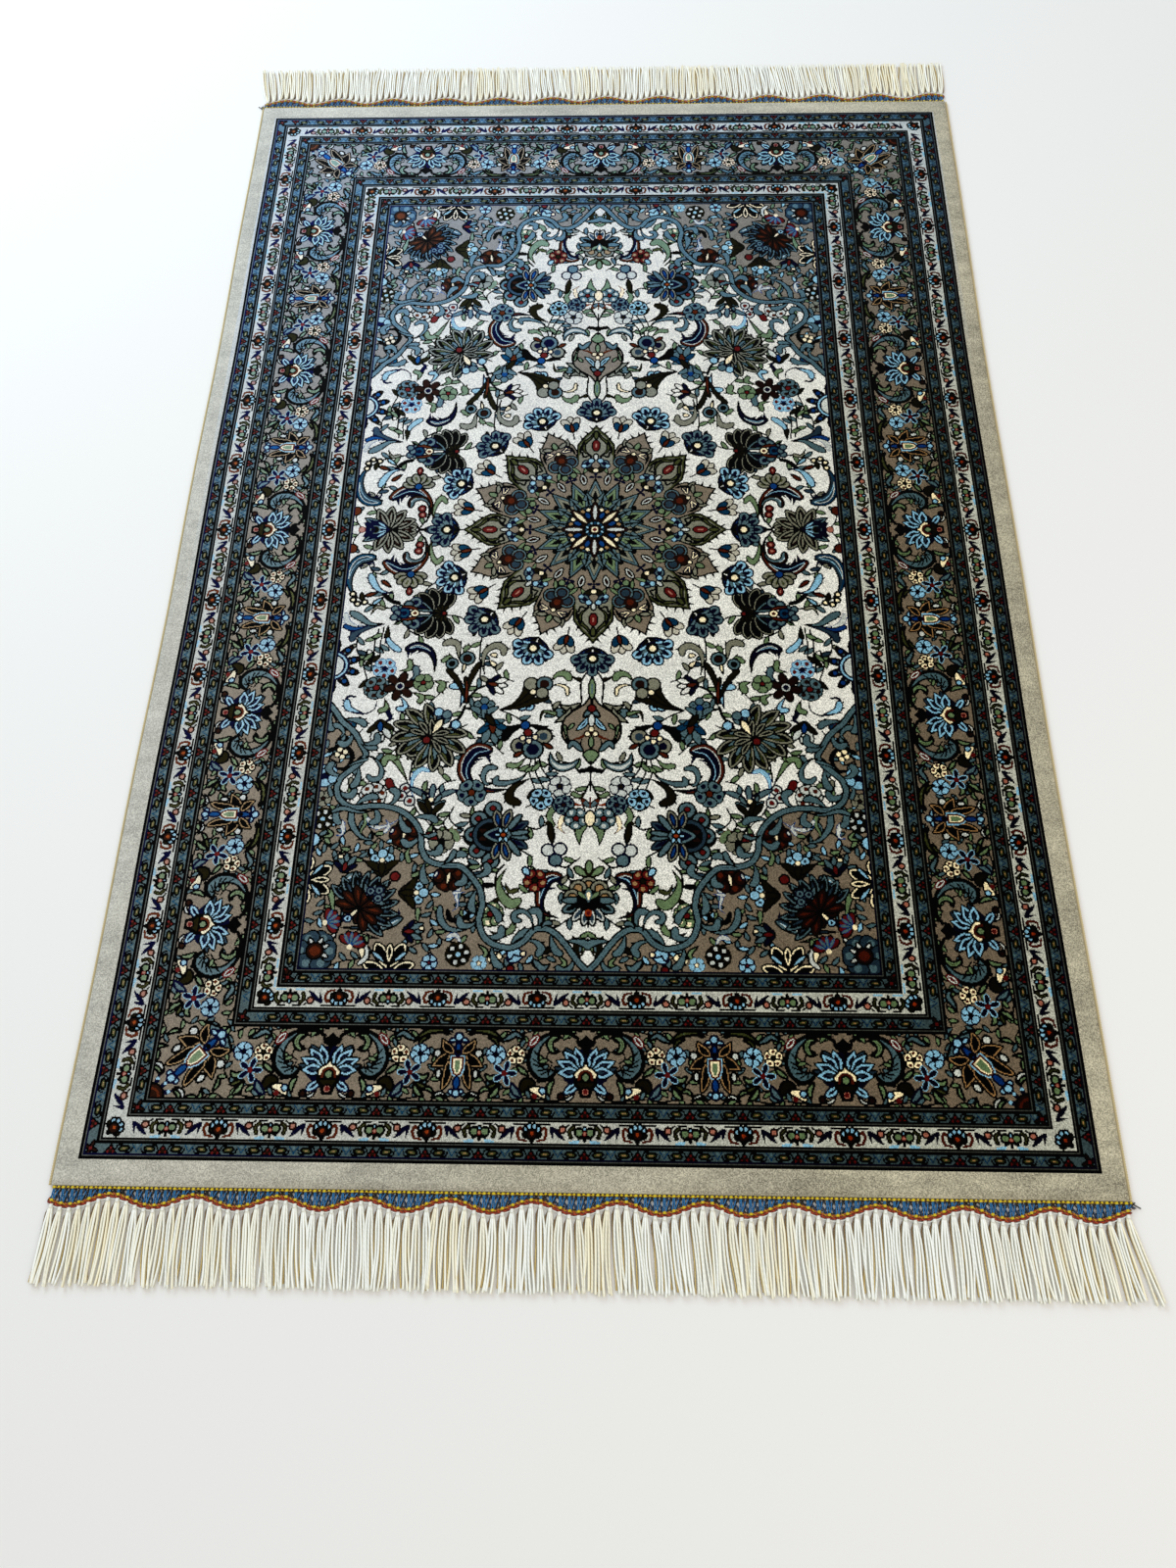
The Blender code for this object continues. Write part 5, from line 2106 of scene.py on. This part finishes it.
class PileSettings(bpy.types.PropertyGroup):
    """The pile and the foundation."""

    relief: length_of("Knot Relief", 0.0004, "Height of one knot's tip in the shading")
    tones: amount_of("Knot Tones", 0.55, "How much one knot differs from the next")
    abrash: amount_of("Abrash", 0.50, "Strength of the bands and patches of tone")


class StageSettings(bpy.types.PropertyGroup):
    """Floor, light and camera."""

    floor: colour_of("Floor", (0.950, 0.952, 0.952), "Colour of the floor")
    sky: amount_of("Sky", 0.70, "Strength of the light from all round")
    left: power_of("Left Light", 34.0, "Power of the cool light")
    far: power_of("Far Light", 24.0, "Power of the light behind")
    right: power_of("Right Light", 9.0, "Power of the warm light")
    lens: FloatProperty(name="Lens", description="Focal length", default=26.41, min=1)


# ---------------------------------------------------------------- operators
# Colours that the painted shade on a thread's sides multiplies by.
SHADED = (0.45, 0.45, 0.45)
WARM_SHADED = (0.52, 0.43, 0.27)
# Emission strength of the white fringe cords: a painted glow that brightens them though they are no lamp.
PAINTED_GLOW = 0.19
BINDING_GOLD = (0.80, 0.64, 0.30)
BINDING_WHITE = (0.90, 0.87, 0.78)


def silk_thread(name, slant=500.0, fibres=4.0, contrast=0.25, side_shade=SHADED, painted_glow=0.0):
    """The silk of one kind of thread, made once. side_shade is the colour that the painted shade on its sides
    multiplies by, and painted_glow is the strength of an emission that makes it shine though it is no lamp.
    """
    if name in bpy.data.materials:
        return bpy.data.materials[name]
    filament = bpy.data.node_groups.get("Silk Filament") or filament_group()
    constants = {"Specular IOR Level": 0.4, "Sheen Weight": 0.15, "Sheen Roughness": 0.4}
    # painted glow: an emission that brightens the thread, off where painted_glow is 0
    constants |= {"Emission Color": (0.80, 0.95, 0.90, 1.0), "Emission Strength": painted_glow}
    return thread_material(name, filament, slant, fibres, contrast, side_shade, constants)


def plied_thread():
    """The thread tree, made once."""
    return bpy.data.node_groups.get("Plied Thread") or thread_tree()


class RUG_OT_carpet(bpy.types.Operator):
    """Weave the pile and the foundation under it"""

    bl_idname = "rug.carpet"
    bl_label = "Weave Carpet"

    def execute(self, context):
        """Makes the two pieces of the carpet."""
        settings = context.scene.rug_pile
        dyes = [tuple(getattr(context.scene.rug_dyes, name)) for name in DYES]
        group = knotted_design_group(dyes)
        front = (settings.tones, settings.abrash, settings.relief)
        back = (0.5 * value for value in front)
        pile_silk = knotted_material("silk_pile", group, *front, (0.30, 0.45), {"Specular IOR Level": 0.015})
        back_silk = knotted_material("knot_backs", group, *back, (0.7, 0.9), {"Specular IOR Level": 0.25})
        pile_edge = PILE_TOP - PILE_SAG - PILE_ROLL
        pile = carpet_layer("pile", True, pile_height, pile_edge, FOUNDATION_TOP + LAYER_GAP)
        foundation = carpet_layer("foundation", False, back_height, FOUNDATION_EDGE, FOUNDATION_TOP)
        for piece, material in ((pile, pile_silk), (foundation, back_silk)):
            piece.data.materials.append(material)
            finish_piece(piece, "silk_pile", "carpet")
        return {"FINISHED"}


class RUG_OT_bindings(bpy.types.Operator):
    """Overcast the long sides"""

    bl_idname = "rug.bindings"
    bl_label = "Bind Sides"

    def execute(self, context):
        """Makes one piece for each side, of two threads."""
        for side, name in ((-1, "left"), (1, "right")):
            skein = Skein()
            for phase, tint in ((0.0, BINDING_GOLD), (math.pi, BINDING_WHITE)):
                skein.lay(binding_path(side, 0.0016), 1.0, phase, tint)
            tree, silk = plied_thread(), silk_thread("binding_silk")
            piece = skein.spin(f"binding_thread_{name}", tree, silk, 0.0017, 0.00075, 0.0046, 0.0007)
            finish_piece(piece, "binding_silk", f"binding_{name}")
        return {"FINISHED"}


class RUG_OT_lace(bpy.types.Operator):
    """Work the lace and the edging cords of both ends"""

    bl_idname = "rug.lace"
    bl_label = "Work Lace"

    def execute(self, context):
        """Makes the knots, the threads and the two edgings of each end."""
        rng = np.random.default_rng(11)
        for end in ("near", "far"):
            knots, threads = lace_skeins(end, rng)
            tree = plied_thread()
            silk = silk_thread("lace_silk")
            piece = knots.spin(f"lace_knots_{end}", tree, silk, 0.0012, 0.0, 0.004, 0.0009, sides=5)
            finish_piece(piece, "blue_lace", f"trim_{end}")
            piece = threads.spin(f"lace_threads_{end}", tree, silk, 0.0011, 0.0, 0.004, 0.0012)
            finish_piece(piece, "blue_lace", f"trim_{end}")
            edging = Skein()
            for phase, tint in ((0.0, GOLD), (math.pi, GOLD_BROWN)):
                edging.lay(pile_seam(end, 0.0014, 0.0019), 0.75, phase, tint)
            for phase, tint in ((0.0, GOLD), (math.pi, ORANGE)):
                edging.lay(scallop_path(end, GOLD_OUT, 0.0013), 1.0, phase, tint)
            silk = silk_thread("gold_silk")
            piece = edging.spin(f"gold_edging_{end}", tree, silk, 0.0014, 0.0006, 0.0056, 0.0008)
            finish_piece(piece, "gold_cord", f"gold_cord_{end}")
            edging = Skein()
            for phase, tint in ((0.0, MAROON_SILK), (math.pi, DARK_MAROON)):
                edging.lay(scallop_path(end, MAROON_OUT, 0.0012), 1.0, phase, tint)
            silk = silk_thread("maroon_silk")
            piece = edging.spin(f"maroon_edging_{end}", tree, silk, 0.0015, 0.0006, 0.0052, 0.0008)
            finish_piece(piece, "maroon_cord", f"maroon_cord_{end}")
        return {"FINISHED"}


class RUG_OT_fringe(bpy.types.Operator):
    """Hang the tassels on both ends"""

    bl_idname = "rug.fringe"
    bl_label = "Hang Fringe"

    def execute(self, context):
        """Makes the cords and the necks of each end's tassels."""
        rng = np.random.default_rng(23)
        for end in ("near", "far"):
            tree = plied_thread()
            twisted, smooth_cords, behind = tassel_cords(end, rng)
            silk = silk_thread("smooth_silk", 60.0, 5.0, 0.05, WARM_SHADED, PAINTED_GLOW)
            plied = silk_thread("twisted_silk", 210.0, 2.0, 0.22, WARM_SHADED, PAINTED_GLOW)
            under = silk_thread("under_silk", 320.0, 2.0, 0.22, WARM_SHADED)
            for name, skein, material, sides, spacing in (
                ("tassels", twisted, plied, 8, 0.0031),
                ("smooth_tassels", smooth_cords, silk, 8, 0.0031),
                ("under_tassels", behind, under, 4, 0.0060),
            ):
                piece = skein.spin(f"{name}_{end}", tree, material, 0.0023, 0.0, 0.01, spacing, sides=sides)
                finish_piece(piece, "white_silk", f"fringe_{end}")
            necks = neck_skein(end, rng)
            piece = necks.spin(f"tassel_necks_{end}", tree, silk, 0.0010, 0.0, 0.004, 0.0010, sides=5)
            finish_piece(piece, "white_silk", f"fringe_{end}")
        return {"FINISHED"}


FLOOR_REACH = 6.0
FLOOR_HEIGHT = -0.0002
SKY_COLOUR = (1.0, 0.965, 0.91)
LIGHTS = (  # name, place, colour, size
    ("left", (-2.0, 1.5, 1.7), (0.74, 0.90, 1.0), 1.5),
    ("far", (-1.3, 3.1, 1.7), (0.50, 0.75, 1.0), 1.2),
    ("right", (1.6, -1.2, 1.6), (1.0, 0.93, 0.82), 1.4),
)
SENSOR_WIDTH = 36.0  # millimetres, as the lens
CAMERA_PLACE = (0.0302, -0.8452, 1.1227)
CAMERA_TURN = (24.41, 1.26, 0.93)  # degrees


class RUG_OT_stage(bpy.types.Operator):
    """Set the floor, the lights and the camera"""

    bl_idname = "rug.stage"
    bl_label = "Set Stage"

    def execute(self, context):
        """Makes the floor, the sky, three lights and the camera."""
        settings = context.scene.rug_stage
        scene = context.scene
        scene.view_settings.view_transform = "Standard"
        mesh = bpy.data.meshes.new("floor")
        corners = ((-1, -1), (1, -1), (1, 1), (-1, 1))
        points = [(x * FLOOR_REACH, y * FLOOR_REACH, FLOOR_HEIGHT) for x, y in corners]
        mesh.from_pydata(points, [], [(0, 1, 2, 3)])
        floor = new_object("floor", mesh)
        colour = (*linear(settings.floor), 1.0)
        paint = principled("floor_paint", {"Base Color": colour, "Roughness": 0.8, "Specular IOR Level": 0.2})
        mesh.materials.append(paint[0])
        world = bpy.data.worlds.new("studio")
        world.use_nodes = True
        background = world.node_tree.nodes["Background"]
        background.inputs[0].default_value = (*SKY_COLOUR, 1.0)
        background.inputs[1].default_value = settings.sky
        scene.world = world
        for name, place, colour, size in LIGHTS:
            light = bpy.data.lights.new(f"{name}_light", "AREA")
            light.energy = getattr(settings, name)
            light.color = colour
            light.size = size
            lamp = bpy.data.objects.new(f"{name}_light", light)
            scene.collection.objects.link(lamp)
            lamp.location = place
            lamp.rotation_euler = (-lamp.location).to_track_quat("-Z", "Y").to_euler()
        data = bpy.data.cameras.new("camera")
        data.lens = settings.lens
        data.sensor_width = SENSOR_WIDTH
        camera = bpy.data.objects.new("camera", data)
        scene.collection.objects.link(camera)
        camera.location = CAMERA_PLACE
        camera.rotation_euler = [math.radians(angle) for angle in CAMERA_TURN]
        scene.camera = camera
        return {"FINISHED"}


class RUG_PT_sidebar(bpy.types.Panel):
    """The rug's steps and settings."""

    bl_label = "Silk Rug"
    bl_space_type = "VIEW_3D"
    bl_region_type = "UI"
    bl_category = "Rug"

    def draw(self, context):
        """Lays out the buttons and the settings."""
        for step in STEPS:
            self.layout.operator(step.bl_idname)
        for name in SETTINGS:
            box = self.layout.box()
            group = getattr(context.scene, name)
            for key in group.__annotations__:
                box.prop(group, key)


STEPS = (RUG_OT_stage, RUG_OT_carpet, RUG_OT_bindings, RUG_OT_lace, RUG_OT_fringe)
SETTINGS = {"rug_dyes": DyeSettings, "rug_pile": PileSettings, "rug_stage": StageSettings}


def register():
    """Adds the add-on's classes and settings."""
    for made in (*SETTINGS.values(), *STEPS, RUG_PT_sidebar):
        bpy.utils.register_class(made)
    for name, group in SETTINGS.items():
        setattr(bpy.types.Scene, name, PointerProperty(type=group))


def unregister():
    """Takes them away again."""
    for name in SETTINGS:
        delattr(bpy.types.Scene, name)
    for made in reversed((*SETTINGS.values(), *STEPS, RUG_PT_sidebar)):
        bpy.utils.unregister_class(made)


def main():
    """Makes every piece."""
    register()
    bpy.ops.rug.stage()
    bpy.ops.rug.carpet()
    bpy.ops.rug.bindings()
    bpy.ops.rug.lace()
    bpy.ops.rug.fringe()


if __name__ == "__main__":
    main()
